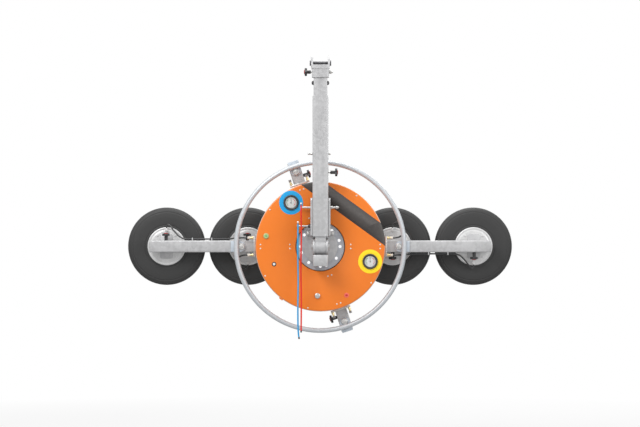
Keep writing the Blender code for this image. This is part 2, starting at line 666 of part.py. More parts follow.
def yoke_frame():
    """Welded yoke: two ears on a round flange, a stop block below and the bracket's seat above."""
    axis_y = -MAST_TO_FACE
    front = (0, FLANGE_FRONT, 0)
    mesh = prism(circle(FLANGE_RADIUS, TURN_STEPS), FLANGE_THICKNESS,
                 across_plane((0, 0, 1), (1, 0, 0), front))
    piece = add_piece("yoke_frame", mesh, STEEL, "yoke")
    seat = BRACKET_FOOT
    boolean(piece, block((-seat, FLANGE_FRONT, 0.030), (seat, FLANGE_BACK, CHEEK_BOTTOM + 0.024)),
            "UNION", "yoke")
    boolean(piece, block((-0.046, FLANGE_FRONT, 0.030), (0.046, FLANGE_BACK, FLANGE_RADIUS + 0.020)),
            "UNION", "yoke")
    inner = BARREL_WIDTH / 2 + RUNNING
    for sign in (-1, 1):
        x = sign * inner if sign > 0 else -EAR_OUTER
        outline = [(FLANGE_FRONT + 0.004, -EAR_RADIUS), (FLANGE_FRONT + 0.004, EAR_RADIUS)]
        for i in range(13):
            angle = math.pi / 2 + math.pi * i / 12
            outline.append((axis_y + EAR_RADIUS * math.cos(angle), EAR_RADIUS * math.sin(angle)))
        boolean(piece, prism(outline, YOKE_EAR_THICKNESS, across_plane((0, 1, 0), (0, 0, 1), (x, 0, 0))),
                "UNION", "yoke")
    top = -MAST_SIZE / 2 - RUNNING
    half = STOP_BLOCK_WIDTH / 2
    low = (-half, axis_y - STOP_BLOCK_REACH, top - STOP_BLOCK_HEIGHT)
    boolean(piece, block(low, (half, FLANGE_FRONT + 0.004, top), 0.003), "UNION", "yoke")
    boolean(piece, rod(TILT_PIN_RADIUS + GAP, (-0.1, axis_y, 0), (0.1, axis_y, 0), MID_STEPS), "DIFFERENCE",
            "yoke")
    start = (0, FLANGE_FRONT - 0.01, 0)
    end = (0, FLANGE_BACK + 0.01, 0)
    boolean(piece, rod(SPINDLE_RADIUS + GAP, start, end, MID_STEPS), "DIFFERENCE", "yoke")
    spot = polar(INDEX_HOLE_CIRCLE, PLUNGER_ANGLE)
    boolean(piece, rod(PLUNGER_RADIUS + GAP, (spot.x, FLANGE_FRONT - 0.01, spot.z),
                       (spot.x, FLANGE_BACK + 0.01, spot.z)), "DIFFERENCE", "yoke")
    for sign in (-1, 1):
        x = sign * BRACKET_BOLT_X
        boolean(piece, rod(BOLT_RADIUS + GAP, (x, FLANGE_FRONT - 0.01, BRACKET_BOLT_Z),
                           (x, FLANGE_FRONT + 0.009, BRACKET_BOLT_Z), SMALL_STEPS), "DIFFERENCE", "yoke")


def tilt_pin():
    """Pin through the ears and the barrel, with a head and a retaining ring."""
    axis_y = -MAST_TO_FACE
    reach = EAR_OUTER + GAP
    mesh = rod(TILT_PIN_RADIUS, (-reach - 0.003, axis_y, 0), (reach + 0.003, axis_y, 0), MID_STEPS)
    piece = add_piece("tilt_pin", mesh, ZINC, "yoke")
    for sign in (-1, 1):
        boolean(piece, rod(TILT_PIN_RADIUS + 0.004, (sign * reach, axis_y, 0),
                           (sign * (reach + 0.005), axis_y, 0), MID_STEPS), "UNION", "yoke")


def rotation_spindle():
    """Turning spindle through the flange, with the washer and nut that hold the chassis on it."""
    front = FLANGE_FRONT + 0.001
    thread = SPINDLE_RADIUS - 0.005
    end = NUT_FRONT + 0.018
    profile = [(0, front), (SPINDLE_RADIUS, front), (SPINDLE_RADIUS, NUT_FRONT - 0.004),
               (0.044, NUT_FRONT - 0.004), (0.044, NUT_FRONT), (thread, NUT_FRONT), (thread, end), (0, end)]
    piece = add_piece("rotation_spindle", turned(profile, (0, 0, 0), MID_STEPS), ZINC, "yoke")
    place = across_plane((0, 0, 1), (1, 0, 0), (0, NUT_FRONT - 0.001, 0))
    boolean(piece, prism(circle(0.036, 6), 0.014, place), "UNION", "yoke")


def lock_bracket():
    """Folded bracket round the back of the mast: two cheeks, a web and two flared feet."""
    back = -CHEEK_TO_CASING
    front = back - CHEEK_DEPTH
    outline = [(front, CHEEK_BOTTOM), (back, CHEEK_BOTTOM), (back, CHEEK_TOP), (front + 0.012, CHEEK_TOP),
               (front, CHEEK_TOP - 0.012)]
    place = across_plane((0, 1, 0), (0, 0, 1), (CHEEK_INNER, 0, 0))
    piece = add_piece("lock_bracket", prism(outline, CHEEK_THICKNESS, place), STEEL, "yoke")
    other = across_plane((0, 1, 0), (0, 0, 1), (-CHEEK_OUTER, 0, 0))
    boolean(piece, prism(outline, CHEEK_THICKNESS, other), "UNION", "yoke")
    web_front = MAST_BACK + RUNNING
    overlap = CHEEK_INNER + CHEEK_THICKNESS / 2
    for low, high in ((TILT_LOCK_HEIGHT + 0.012, CHEEK_TOP), (0.124, 0.146)):
        boolean(piece, block((-overlap, web_front, low), (overlap, web_front + BRACKET_WEB, high)),
                "UNION", "yoke")
    for sign in (-1, 1):
        edge = sign * BRACKET_FOOT
        inner = sign * (CHEEK_INNER + 0.002)
        low = (min(edge, inner), FLANGE_FRONT - GAP - 0.012, CHEEK_BOTTOM)
        high = (max(edge, inner), FLANGE_FRONT - GAP, CHEEK_BOTTOM + 0.022)
        boolean(piece, block(low, high), "UNION", "yoke")
        x = sign * BRACKET_BOLT_X
        drill = rod(BOLT_RADIUS + GAP, (x, -0.05, BRACKET_BOLT_Z), (x, 0, BRACKET_BOLT_Z), SMALL_STEPS)
        boolean(piece, drill, "DIFFERENCE", "yoke")
    wide = CHEEK_OUTER + 0.02
    shaft = LOCK_SHAFT_RADIUS + GAP
    boolean(piece, rod(shaft, (-wide, SHAFT_Y, TILT_LOCK_HEIGHT), (wide, SHAFT_Y, TILT_LOCK_HEIGHT)),
            "DIFFERENCE", "yoke")
    boolean(piece, rod(shaft, (-wide, SHAFT_Y, TURN_LOCK_HEIGHT), (0, SHAFT_Y, TURN_LOCK_HEIGHT)),
            "DIFFERENCE", "yoke")


def crank(piece, x, height, body):
    """Crank arm from the lock shaft towards the operator, with a round eye for its cord."""
    root = Vector((x, SHAFT_Y, height))
    tip = root + CRANK_LENGTH * Vector((0, -math.cos(CRANK_RISE), math.sin(CRANK_RISE)))
    half = Vector((CRANK_EYE_HALF, 0, 0))
    boolean(piece, rod(CRANK_RADIUS, root, tip, TINY_STEPS), "UNION", body)
    boolean(piece, rod(CRANK_EYE_RADIUS, tip - half, tip + half), "UNION", body)


def tilt_lock_lever():
    """Shaft of the tilt lock: crank and cord on the left, latch behind the mast, collars right."""
    left = TILT_CORD_X - SHAFT_PAST_CRANK
    height = TILT_LOCK_HEIGHT
    mesh = rod(LOCK_SHAFT_RADIUS, (left, SHAFT_Y, height), (LOCK_SHAFT_RIGHT, SHAFT_Y, height))
    piece = add_piece("tilt_lock_lever", mesh, ZINC, "tilt_lock_lever")
    crank(piece, TILT_CORD_X, height, "tilt_lock_lever")
    for start in (CHEEK_OUTER + LOCK_COLLAR_GAP, OUTER_COLLAR_START):
        end = (start + LOCK_COLLAR_LENGTH, SHAFT_Y, height)
        boolean(piece, rod(LOCK_COLLAR_RADIUS, (start, SHAFT_Y, height), end), "UNION", "tilt_lock_lever")
    half = LATCH_WIDTH / 2
    foot = LATCH_HEIGHT - 0.008
    plate_low = (-half, SHAFT_Y - 0.005, foot)
    plate_high = (half, SHAFT_Y + 0.005, height + 0.007)
    boolean(piece, block(plate_low, plate_high), "UNION", "tilt_lock_lever")
    nose_low = (-half, MAST_BACK + GAP, foot)
    nose_high = (half, SHAFT_Y, LATCH_HEIGHT + 0.004)
    boolean(piece, block(nose_low, nose_high), "UNION", "tilt_lock_lever")


def turn_lock_lever():
    """Shaft of the turning lock: crank and cord outside the cheek, finger behind the mast."""
    height = TURN_LOCK_HEIGHT
    inner = -CHEEK_INNER + 0.0015
    left = TURN_CORD_X - SHAFT_PAST_CRANK
    mesh = rod(LOCK_SHAFT_RADIUS, (left, SHAFT_Y, height), (inner, SHAFT_Y, height))
    piece = add_piece("turn_lock_lever", mesh, ZINC, "turn_lock_lever")
    crank(piece, TURN_CORD_X, height, "turn_lock_lever")
    start = (-CHEEK_OUTER - 0.012, SHAFT_Y, height)
    end = (-CHEEK_OUTER - LOCK_COLLAR_GAP, SHAFT_Y, height)
    boolean(piece, rod(LOCK_COLLAR_RADIUS, start, end), "UNION", "turn_lock_lever")
    finger = (SHAFT_Y + 0.003, height + FINGER_RISE)
    low = (inner - 0.001, SHAFT_Y - 0.001, height)
    high = (inner + 0.0005, SHAFT_Y + 0.005, finger[1] + 0.002)
    boolean(piece, block(low, high), "UNION", "turn_lock_lever")
    tip = rod(FINGER_RADIUS, (inner - 0.001, *finger), (inner + FINGER_REACH, *finger), TINY_STEPS)
    boolean(piece, tip, "UNION", "turn_lock_lever")


def index_plunger():
    """Plunger of the turning lock, with the plate that the lever's finger draws forward."""
    spot = polar(INDEX_HOLE_CIRCLE, PLUNGER_ANGLE)
    plate_back = SHAFT_Y + 0.001
    mesh = rod(PLUNGER_RADIUS, (spot.x, plate_back - 0.001, spot.z), (spot.x, INDEX_FRONT - GAP, spot.z))
    piece = add_piece("index_plunger", mesh, ZINC, "plunger")
    low = (spot.x - 0.0055, plate_back - 0.003, spot.z - 0.008)
    high = (spot.x + 0.008, plate_back, TURN_LOCK_HEIGHT + FINGER_RISE + 0.004)
    boolean(piece, block(low, high), "UNION", "plunger")


def pull_cord(name, x, height, end, material, body, drift):
    """Cord that hangs from a crank's eye and sways aside by its drift at each share of its length."""
    top = height + CRANK_LENGTH * math.sin(CRANK_RISE) - CRANK_EYE_RADIUS - CORD_TO_EYE
    y = SHAFT_Y - CRANK_LENGTH * math.cos(CRANK_RISE)
    route = [(x, y, top), (x, y, top - CORD_STRAIGHT)]
    for share, sway in drift:
        route.append((x + sway, y + sway / 2, top + (end - top) * share))
    hose(name, route, CORD_DIAMETER, material, body, spacing=0.016)


def spindle_bush():
    """Long flanged bronze bush between the spindle and the chassis."""
    outer = BEARING_TUBE_OUTER - BEARING_TUBE_WALL - GAP
    inner = SPINDLE_RADIUS + BUSH_PLAY
    front = INDEX_BACK + 2 * GAP
    flange = NUT_FRONT - 0.004 - GAP
    seat = BEAM_BACK + GAP
    profile = [(inner, front), (outer, front), (outer, seat), (outer + 0.006, seat), (outer + 0.006, flange),
               (inner, flange)]
    add_piece("spindle_bush", turned(profile, (0, 0, 0), MID_STEPS), BRONZE, "chassis")


def chassis_frame():
    """Welded frame: hub ring, bearing tube, four webs and four square beams with pad sockets."""
    front = INDEX_BACK + GAP
    depth = BEAM_BACK - front
    inner = HUB_RING_OUTER - HUB_RING_WALL
    mesh = turned([(inner, 0), (HUB_RING_OUTER, 0), (HUB_RING_OUTER, depth), (inner, depth)], (0, front, 0))
    piece = add_piece("chassis_frame", mesh, STEEL, "chassis")
    bore = BEARING_TUBE_OUTER - BEARING_TUBE_WALL
    boolean(piece, turned([(bore, 0), (BEARING_TUBE_OUTER, 0), (BEARING_TUBE_OUTER, depth), (bore, depth)],
                          (0, front, 0), MID_STEPS), "UNION", "chassis")
    for quarter in range(4):
        web = block((BEARING_TUBE_OUTER - 0.004, front + 0.002, -WEB_THICKNESS / 2),
                    (inner + 0.004, BEAM_BACK - 0.002, WEB_THICKNESS / 2))
        bmesh.ops.transform(web, matrix=turn_about_y(WEB_ANGLE + 90 * quarter), verts=web.verts)
        boolean(piece, web, "UNION", "chassis")
    start = HUB_RING_OUTER - 0.004
    for angle in BEAM_ANGLES.values():
        lay = across_plane((0, 1, 0), (0, 0, 1), (start, BEAM_MID, 0))
        beam = square_tube(BEAM_SIZE, BEAM_WALL, BEAM_CORNER, BEAM_END - start, turn_about_y(angle) @ lay)
        boolean(piece, beam, "UNION", "chassis")
    for angle in BEAM_ANGLES.values():
        turn = turn_about_y(angle)
        middle = (INNER_PAD, BEAM_MID, 0)
        drill = rod(BALL_RADIUS + HOLE_PLAY, middle, (INNER_PAD, BEAM_BACK + 0.02, 0), MID_STEPS)
        bmesh.ops.transform(drill, matrix=turn, verts=drill.verts)
        boolean(piece, drill, "DIFFERENCE", "chassis")
        drill = rod(CLAMP_RADIUS + GAP, (INNER_PAD, BEAM_MID, -BEAM_SIZE), middle, SMALL_STEPS)
        add_rod(drill, LUG_BOLT_RADIUS + GAP, (LUG_BOLT_CIRCLE, BEAM_FRONT - 0.02, 0),
                (LUG_BOLT_CIRCLE, BEAM_MID, 0), SMALL_STEPS)
        bmesh.ops.transform(drill, matrix=turn, verts=drill.verts)
        boolean(piece, drill, "DIFFERENCE", "chassis")


def index_plate():
    """Ring with twelve through holes that the turning lock drops into."""
    bore = SPINDLE_RADIUS + 0.004
    mesh = turned([(bore, 0), (INDEX_RADIUS, 0), (INDEX_RADIUS, INDEX_THICKNESS), (bore, INDEX_THICKNESS)],
                  (0, INDEX_FRONT, 0))
    piece = add_piece("index_plate", mesh, STEEL, "chassis")
    drill = bmesh.new()
    for quarter in range(4):
        for angle in INDEX_ANGLES:
            spot = polar(INDEX_HOLE_CIRCLE, angle + 90 * quarter)
            add_rod(drill, INDEX_HOLE_RADIUS, spot + Vector((0, INDEX_FRONT - 0.01, 0)),
                    spot + Vector((0, INDEX_BACK + 0.01, 0)))
    boolean(piece, drill, "DIFFERENCE", "chassis")


def ring_handle():
    """Ring of bright tube with its four lug plates, bolted on the fronts of the beams."""
    mesh = bmesh.new()
    add_turned(mesh, circle(RING_TUBE, RING_FACETS, (RING_RADIUS, 0)), (0, RING_MID, 0), LARGE_STEPS)
    piece = add_piece("ring_handle", mesh, BRIGHT, "chassis")
    for angle in BEAM_ANGLES.values():
        outline = [(LUG_END, LUG_WIDTH / 2), (LUG_END, -LUG_WIDTH / 2)]
        for i in range(9):
            bend = -math.pi / 2 - math.pi * i / 8
            outline.append((LUG_BOLT_CIRCLE + 0.008 + LUG_WIDTH / 2 * math.cos(bend),
                            LUG_WIDTH / 2 * math.sin(bend)))
        outline.reverse()
        place = turn_about_y(angle) @ across_plane((1, 0, 0), (0, 0, 1), (0, LUG_BACK, 0))
        boolean(piece, prism(outline, LUG_THICKNESS, place), "UNION", "chassis")
        drill = rod(LUG_BOLT_RADIUS + GAP, (LUG_BOLT_CIRCLE, LUG_FRONT - 0.02, 0),
                    (LUG_BOLT_CIRCLE, LUG_BACK + 0.02, 0), SMALL_STEPS)
        bmesh.ops.transform(drill, matrix=turn_about_y(angle), verts=drill.verts)
        boolean(piece, drill, "DIFFERENCE", "chassis")


def casing_pan():
    """Orange sheet pan: front with a hub opening, rolled outer edge and straight rim."""
    outer = CASING_RADIUS
    inner = OPENING_RADIUS
    wall = CASING_SHEET
    edge = CASING_EDGE
    profile = [(inner, 0.002), (inner + 0.002, 0)]
    for i in range(4):
        bend = math.pi / 2 * i / 3
        profile.append((outer - edge + edge * math.sin(bend), edge - edge * math.cos(bend)))
    profile += [(outer, CASING_DEPTH), (outer - wall, CASING_DEPTH)]
    for i in range(3, -1, -1):
        bend = math.pi / 2 * i / 3
        small = edge - wall
        profile.append((outer - edge + small * math.sin(bend), edge - small * math.cos(bend)))
    profile += [(inner + wall, wall), (inner + wall, CASING_DEPTH), (inner, CASING_DEPTH)]
    piece = add_piece("casing_pan", turned(profile, (0, 0, 0), LARGE_STEPS), ORANGE, "chassis")
    drill = bmesh.new()
    for name, radius in CASING_HOLES.items():
        x, z = CASING_PLACES[name]
        add_rod(drill, radius + HOLE_PLAY, (x, -0.01, z), (x, wall + 0.004, z), MID_STEPS)
    boolean(piece, drill, "DIFFERENCE", "chassis")


def base_plate():
    """Steel plate that closes the casing at the back and carries what is inside it."""
    mesh = turned([(HUB_RING_OUTER + RUNNING, 0), (CASING_RADIUS - 0.001, 0),
                   (CASING_RADIUS - 0.001, BASE_PLATE_THICKNESS),
                   (HUB_RING_OUTER + RUNNING, BASE_PLATE_THICKNESS)], (0, BASE_FRONT, 0), LARGE_STEPS)
    add_piece("base_plate", mesh, STEEL, "chassis")


def inside_casing():
    """Pumps, battery and valve block on the base plate, inside the casing."""
    floor = BASE_FRONT - GAP
    wide = PUMP_WIDTH / 2
    high = PUMP_HEIGHT / 2
    heads_y = floor - PUMP_DEPTH / 2
    for name, (x, z) in PUMPS.items():
        motor = block((x - wide, floor - PUMP_DEPTH, z - high), (x + wide, floor, z + high), 0.004)
        piece = add_piece(name, motor, DARK_STEEL, "chassis")
        heads = rod(PUMP_HEAD_RADIUS, (x, heads_y, z - PUMP_HEAD_REACH), (x, heads_y, z + PUMP_HEAD_REACH))
        boolean(piece, heads, "UNION", "chassis")
    for name, left, right, bottom, top, depth, corner, material in (
            ("battery", -0.09, 0.03, -0.285, -0.150, 0.065, 0.004, PLASTIC),
            ("valve_block", 0.02, 0.12, 0.150, 0.205, 0.045, 0.003, ZINC)):
        box = block((left, floor - depth, bottom), (right, floor, top), corner)
        add_piece(name, box, material, "chassis")


def hose_manifolds():
    """Brass manifold over the foot of each beam, with a hose coupling beside it on either hand."""
    length = COUPLING_END - COUPLING_START
    half = MANIFOLD_HEIGHT / 2
    for side, angle in BEAM_ANGLES.items():
        turn = turn_about_y(angle)
        low = (COUPLING_START, COUPLING_DEPTH - half, -COUPLING_OFFSET - half)
        high = (COUPLING_START + MANIFOLD_REACH, COUPLING_DEPTH + half, COUPLING_OFFSET + half)
        piece = add_piece("manifold_" + side, turned_block(turn, low, high), BRASS, "chassis")
        direction = turn.to_3x3() @ Vector((1, 0, 0))
        for hand in (-1, 1):
            start = turn @ Vector((COUPLING_START, COUPLING_DEPTH, hand * COUPLING_OFFSET))
            profile = [(0, 0.004), (COUPLING_RADIUS, 0.004), (COUPLING_RADIUS, length * 0.5),
                       (COUPLING_RADIUS * 0.75, length * 0.56), (COUPLING_RADIUS * 0.75, length * 0.66),
                       (COUPLING_RADIUS * 0.95, length * 0.72), (COUPLING_RADIUS * 0.95, length), (0, length)]
            boolean(piece, turned(profile, start, TINY_STEPS, axis=direction), "UNION", "chassis")


def gauges():
    """Vacuum gauges: bezel, white dial and a pointer that turns on the dial's axis."""
    for name, (x, z) in GAUGES.items():
        rim = GAUGE_RADIUS
        hole = CASING_HOLES["gauge_" + name]
        profile = [(0, DIAL_FRONT), (rim - 0.008, DIAL_FRONT), (rim - 0.004, BEZEL_FRONT),
                   (rim, BEZEL_FRONT + 0.001), (rim, -GAP), (hole, -GAP), (hole, GAUGE_DEPTH),
                   (0, GAUGE_DEPTH)]
        add_piece("gauge_" + name, turned(profile, (x, 0, z), MID_STEPS), PLASTIC, "chassis")
        body = name + "_needle"
        front = DIAL_FRONT - GAP
        low = (x - NEEDLE_HALF, front - 0.001, z - NEEDLE_TAIL)
        piece = add_piece("needle_" + name, block(low, (x + NEEDLE_HALF, front, z + NEEDLE_POINT)),
                          DARK_STEEL, body)
        boolean(piece, rod(0.003, (x, front, z), (x, front - 0.002, z), SMALL_STEPS), "UNION", body)


def casing_fittings():
    """Start button and vent knob in the casing's front."""
    x, z = CASING_PLACES["start_button"]
    radius = CASING_HOLES["start_button"]
    profile = [(0, -START_PROUD), (radius - 0.0015, -START_PROUD), (radius, 0.0015 - START_PROUD),
               (radius, FITTING_DEPTH), (0, FITTING_DEPTH)]
    add_piece("start_button", turned(profile, (x, 0, z), MID_STEPS), GREEN, "start_button")
    x, z = CASING_PLACES["vent_knob"]
    radius = CASING_HOLES["vent_knob"]
    profile = [(0, -VENT_PROUD), (VENT_RADIUS - 0.002, -VENT_PROUD), (VENT_RADIUS, 0.002 - VENT_PROUD),
               (VENT_RADIUS, -GAP), (radius, -GAP), (radius, FITTING_DEPTH), (0, FITTING_DEPTH)]
    piece = add_piece("vent_knob", turned(profile, (x, 0, z), MID_STEPS), ZINC, "vent_knob")
    long, wide = VENT_GRIP
    grip = block((x - long, -VENT_PROUD - 0.002, z - wide), (x + long, 0.0015 - VENT_PROUD, z + wide))
    boolean(piece, grip, "UNION", "vent_knob")


def extension_arm(side, sign):
    """Square arm that plugs into a beam and carries an outer pad, with hooks for its hose."""
    start = BEAM_END + GAP
    lay = across_plane((0, 1, 0), (0, 0, 1), (start, BEAM_MID, 0))
    turn = turn_about_y(0 if sign > 0 else 180)
    name = "extension_arm_" + side
    mesh = square_tube(BEAM_SIZE, BEAM_WALL, BEAM_CORNER, ARM_END - start, turn @ lay)
    piece = add_piece(name, mesh, STEEL, "chassis")
    inner = BEAM_SIZE - 2 * (BEAM_WALL + RUNNING)
    lay = across_plane((0, 1, 0), (0, 0, 1), (start - SPIGOT_REACH, BEAM_MID, 0))
    spigot = square_tube(inner, SPIGOT_WALL, 0.002, SPIGOT_REACH + 0.004, turn @ lay)
    boolean(piece, spigot, "UNION", "chassis")
    collar_low = (start, BEAM_FRONT + 0.001, -inner / 2 - 0.001)
    boolean(piece, turned_block(turn, collar_low, (start + 0.004, BEAM_BACK - 0.001, inner / 2 + 0.001)),
            "UNION", "chassis")
    cap_low = (ARM_END - 0.003, BEAM_FRONT + 0.001, -BEAM_SIZE / 2 + 0.001)
    boolean(piece, turned_block(turn, cap_low, (ARM_END, BEAM_BACK - 0.001, BEAM_SIZE / 2 - 0.001)),
            "UNION", "chassis")
    for x in HOOK_PLACES:
        low = (x - 0.003, BEAM_FRONT + 0.004, -BEAM_SIZE / 2 - 0.014)
        boolean(piece, turned_block(turn, low, (x + 0.003, BEAM_FRONT + 0.008, -BEAM_SIZE / 2 + 0.003)),
                "UNION", "chassis")
    for outline, thickness, depth in ((GUARD, GUARD_WIDTH, BEAM_BACK - 0.010),
                                      (GUSSET, GUSSET_THICKNESS, BEAM_FRONT + 0.012)):
        lay = across_plane((1, 0, 0), (0, 0, 1), (BEAM_END, depth, 0))
        boolean(piece, prism(outline, thickness, turn @ lay), "UNION", "chassis")
    middle = (OUTER_PAD, BEAM_MID, 0)
    drill = rod(BALL_RADIUS + HOLE_PLAY, middle, (OUTER_PAD, BEAM_BACK + 0.02, 0), MID_STEPS)
    add_rod(drill, CLAMP_RADIUS + GAP, (OUTER_PAD, BEAM_MID, -BEAM_SIZE), middle, SMALL_STEPS)
    bmesh.ops.transform(drill, matrix=turn, verts=drill.verts)
    boolean(piece, drill, "DIFFERENCE", "chassis")


def turned_block(turn, low, high):
    """Block drawn on the right-hand arm and turned to its own."""
    mesh = block(low, high)
    bmesh.ops.transform(mesh, matrix=turn, verts=mesh.verts)
    return mesh


def pad_stem(name, x):
    """Ball stem that carries a pad, held in its beam or arm by a star knob."""
    front = BEAM_MID + CLAMP_RADIUS + 0.001
    profile = [(0, front), (BALL_RADIUS, front), (BALL_RADIUS, BEAM_BACK - 0.001),
               (STEM_NECK, BEAM_BACK + 0.002)]
    first = math.asin(STEM_NECK / BALL_RADIUS)
    for i in range(6):
        angle = math.pi - first - (math.pi - first) * i / 5
        profile.append((BALL_RADIUS * math.sin(angle), PAD_PIVOT + BALL_RADIUS * math.cos(angle)))
    profile[-1] = (0, PAD_PIVOT + BALL_RADIUS)
    add_piece(name, turned(profile, (x, 0, 0), SMALL_STEPS), ZINC, "chassis")


def suction_pad(name, x, side):
    """Pad on its ball stem: steel plate with cup and hose port, and the moulded rubber."""
    cup_front = PAD_PIVOT - CUP_TO_PIVOT
    bore_front = PAD_PIVOT - BORE_TO_PIVOT
    lip = BALL_RADIUS - 0.0025
    plate = PAD_PLATE_RADIUS
    profile = [(lip, cup_front), (CUP_OUTER, cup_front), (CUP_OUTER, PAD_FRONT), (plate - 0.003, PAD_FRONT),
               (plate, PAD_FRONT + 0.003), (plate, PAD_BACK), (0, PAD_BACK), (0, PAD_PIVOT + CUP_BORE),
               (CUP_BORE, PAD_PIVOT + CUP_BORE), (CUP_BORE, bore_front), (lip, bore_front)]
    piece = add_piece(name + "_plate", turned(profile, (x, 0, 0), PLATE_STEPS), STEEL, name)
    z = side * PORT_OFFSET
    boolean(piece, rod(PORT_FOOT, (x, PAD_FRONT + 0.002, z), (x, PORT_DEPTH, z), SMALL_STEPS), "UNION", name)
    start = (x, PORT_DEPTH, z - side * PORT_BACK)
    end = (x, PORT_DEPTH, z + side * PORT_REACH)
    boolean(piece, rod(PORT_RADIUS, start, end, SMALL_STEPS), "UNION", name)
    outer = PAD_RADIUS
    floor = LIP_BACK - PAD_CAVITY
    rubber = [(0, RUBBER_FRONT)]
    for inset, depth in RUBBER_SHOULDER:
        rubber.append((outer - inset, RUBBER_FRONT + depth))
    rubber += [(outer - 0.002, LIP_BACK), (outer - LIP_WIDTH, LIP_BACK), (outer - 0.022, floor + 0.005),
               (outer - 0.034, floor), (0, floor)]
    add_piece(name + "_rubber", turned(rubber, (x, 0, 0), TURN_STEPS), RUBBER, name)


def knobs_and_hoses():
    """Star knobs of the mast, the beams and the arms, and the vacuum hoses of the pads."""
    axis_y = -MAST_TO_FACE
    head = HEAD_SIZE / 2
    star_knob("fork_knob", (head + 0.020, axis_y, HEAD_KNOB_HEIGHT), (-1, 0, 0), FORK_KNOB_REACH,
              2 * head + 0.026, "fork_knob")
    tip = INSERT_SIZE / 2 + GAP
    star_knob("clamp_knob", (tip, axis_y, CLAMP_HEIGHT), (1, 0, 0), CLAMP_KNOB_REACH - tip,
              MAST_SIZE / 2 + CLAMP_NECK_GAP - tip, "clamp_knob")
    for side, angle in BEAM_ANGLES.items():
        turn = turn_about_y(angle)
        foot = turn @ Vector((INNER_PAD, BEAM_MID, 0))
        direction = turn.to_3x3() @ Vector((0, 0, -1))
        star_knob(side + "_knob", foot + direction * KNOB_STUD_FOOT, direction, KNOB_REACH - KNOB_STUD_FOOT,
                  BEAM_SIZE / 2 + GAP - KNOB_STUD_FOOT, side + "_knob")
    for side, sign in (("left", -1), ("right", 1)):
        foot = Vector((sign * OUTER_PAD, BEAM_MID, 0))
        direction = Vector((0, 0, -sign))
        star_knob("outer_" + side + "_knob", foot + direction * KNOB_STUD_FOOT, direction,
                  KNOB_REACH - KNOB_STUD_FOOT, BEAM_SIZE / 2 + GAP - KNOB_STUD_FOOT,
                  "outer_" + side + "_knob")
    for side, sign in (("left", -1), ("right", 1)):
        outer_hose(side, sign)
        inner_hose(side, sign)


def outer_hose(side, sign):
    """Hose from the coupling beside the beam, along the arm's edge, to the outer pad's port."""
    start = COUPLING_END + HOSE_GAP
    depth = COUPLING_DEPTH
    along_arm = -BEAM_SIZE / 2 - 0.008
    port = -PORT_OFFSET - PORT_REACH - GAP
    route = [(start, depth, -COUPLING_OFFSET), (start + 0.014, depth + 0.0005, -COUPLING_OFFSET),
             (BEAM_END - 0.027, 0.102, -0.043), (BEAM_END + 0.018, BEAM_FRONT + 0.018, along_arm - 0.001),
             (HOOK_PLACES[0] - 0.036, BEAM_FRONT + 0.016, along_arm),
             (HOOK_PLACES[0] + 0.044, BEAM_FRONT + 0.016, along_arm),
             (HOOK_PLACES[1] + 0.025, BEAM_FRONT + 0.017, along_arm),
             (OUTER_PAD - 0.076, BEAM_FRONT + 0.026, along_arm - 0.008),
             (OUTER_PAD - 0.046, BEAM_FRONT + 0.042, port + 0.022),
             (OUTER_PAD - 0.021, PORT_DEPTH - 0.008, port - 0.010),
             (OUTER_PAD - 0.007, PORT_DEPTH - 0.001, port - 0.018), (OUTER_PAD, PORT_DEPTH, port - 0.008),
             (OUTER_PAD, PORT_DEPTH, port)]
    turned_route = [(sign * x, y, sign * z) for x, y, z in route]
    hose("outer_hose_" + side, turned_route, HOSE_DIAMETER, PLASTIC, "chassis")


def inner_hose(side, sign):
    """Hose from the second coupling, round behind the ring, to the inner pad's port."""
    start = COUPLING_END + HOSE_GAP
    depth = COUPLING_DEPTH
    port = PORT_OFFSET + PORT_REACH + GAP
    route = [(start, depth, COUPLING_OFFSET), (start + 0.012, depth + 0.0005, COUPLING_OFFSET),
             (INNER_PAD + 0.037, 0.090, COUPLING_OFFSET + 0.007), (INNER_PAD + 0.059, 0.112, port - 0.019),
             (INNER_PAD + 0.055, 0.136, port + 0.010), (INNER_PAD + 0.032, 0.152, port + 0.028),
             (INNER_PAD + 0.011, PORT_DEPTH - 0.002, port + 0.026), (INNER_PAD, PORT_DEPTH, port + 0.010),
             (INNER_PAD, PORT_DEPTH, port)]
    turned_route = [(sign * x, y, sign * z) for x, y, z in route]
    hose("inner_hose_" + side, turned_route, HOSE_DIAMETER, PLASTIC, "chassis", spacing=0.014)


joint_axes()
crane_fork()
crane_pin()
insert_tube()
mast_tube()
cross_bolt("stop_pin", STOP_PIN_HEIGHT, STOP_PIN_RADIUS, MAST_SIZE / 2 + 0.0015, 0.006, 0.012, ZINC, "mast")
yoke_frame()
tilt_pin()
rotation_spindle()
lock_bracket()
tilt_lock_lever()
turn_lock_lever()
index_plunger()
pull_cord("tilt_lock_cord", TILT_CORD_X, TILT_LOCK_HEIGHT, TILT_CORD_END, RED_CORD, "tilt_cord",
          TILT_CORD_DRIFT)
pull_cord("turn_lock_cord", TURN_CORD_X, TURN_LOCK_HEIGHT, TURN_CORD_END, BLUE_CORD, "turn_cord",
          TURN_CORD_DRIFT)
spindle_bush()
chassis_frame()
index_plate()
ring_handle()
casing_pan()
base_plate()
inside_casing()
hose_manifolds()
gauges()
casing_fittings()
extension_arm("left", -1)
extension_arm("right", 1)
for pad_name, (pad_x, port_side) in PADS.items():
    pad_stem(pad_name + "_stem", pad_x)
    suction_pad(pad_name, pad_x, port_side)
knobs_and_hoses()
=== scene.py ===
"""Vacuum lifter for glass and sheet panels: the finished look of every piece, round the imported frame."""
import json
import math

import bmesh
import bpy
from mathutils import Matrix, Vector

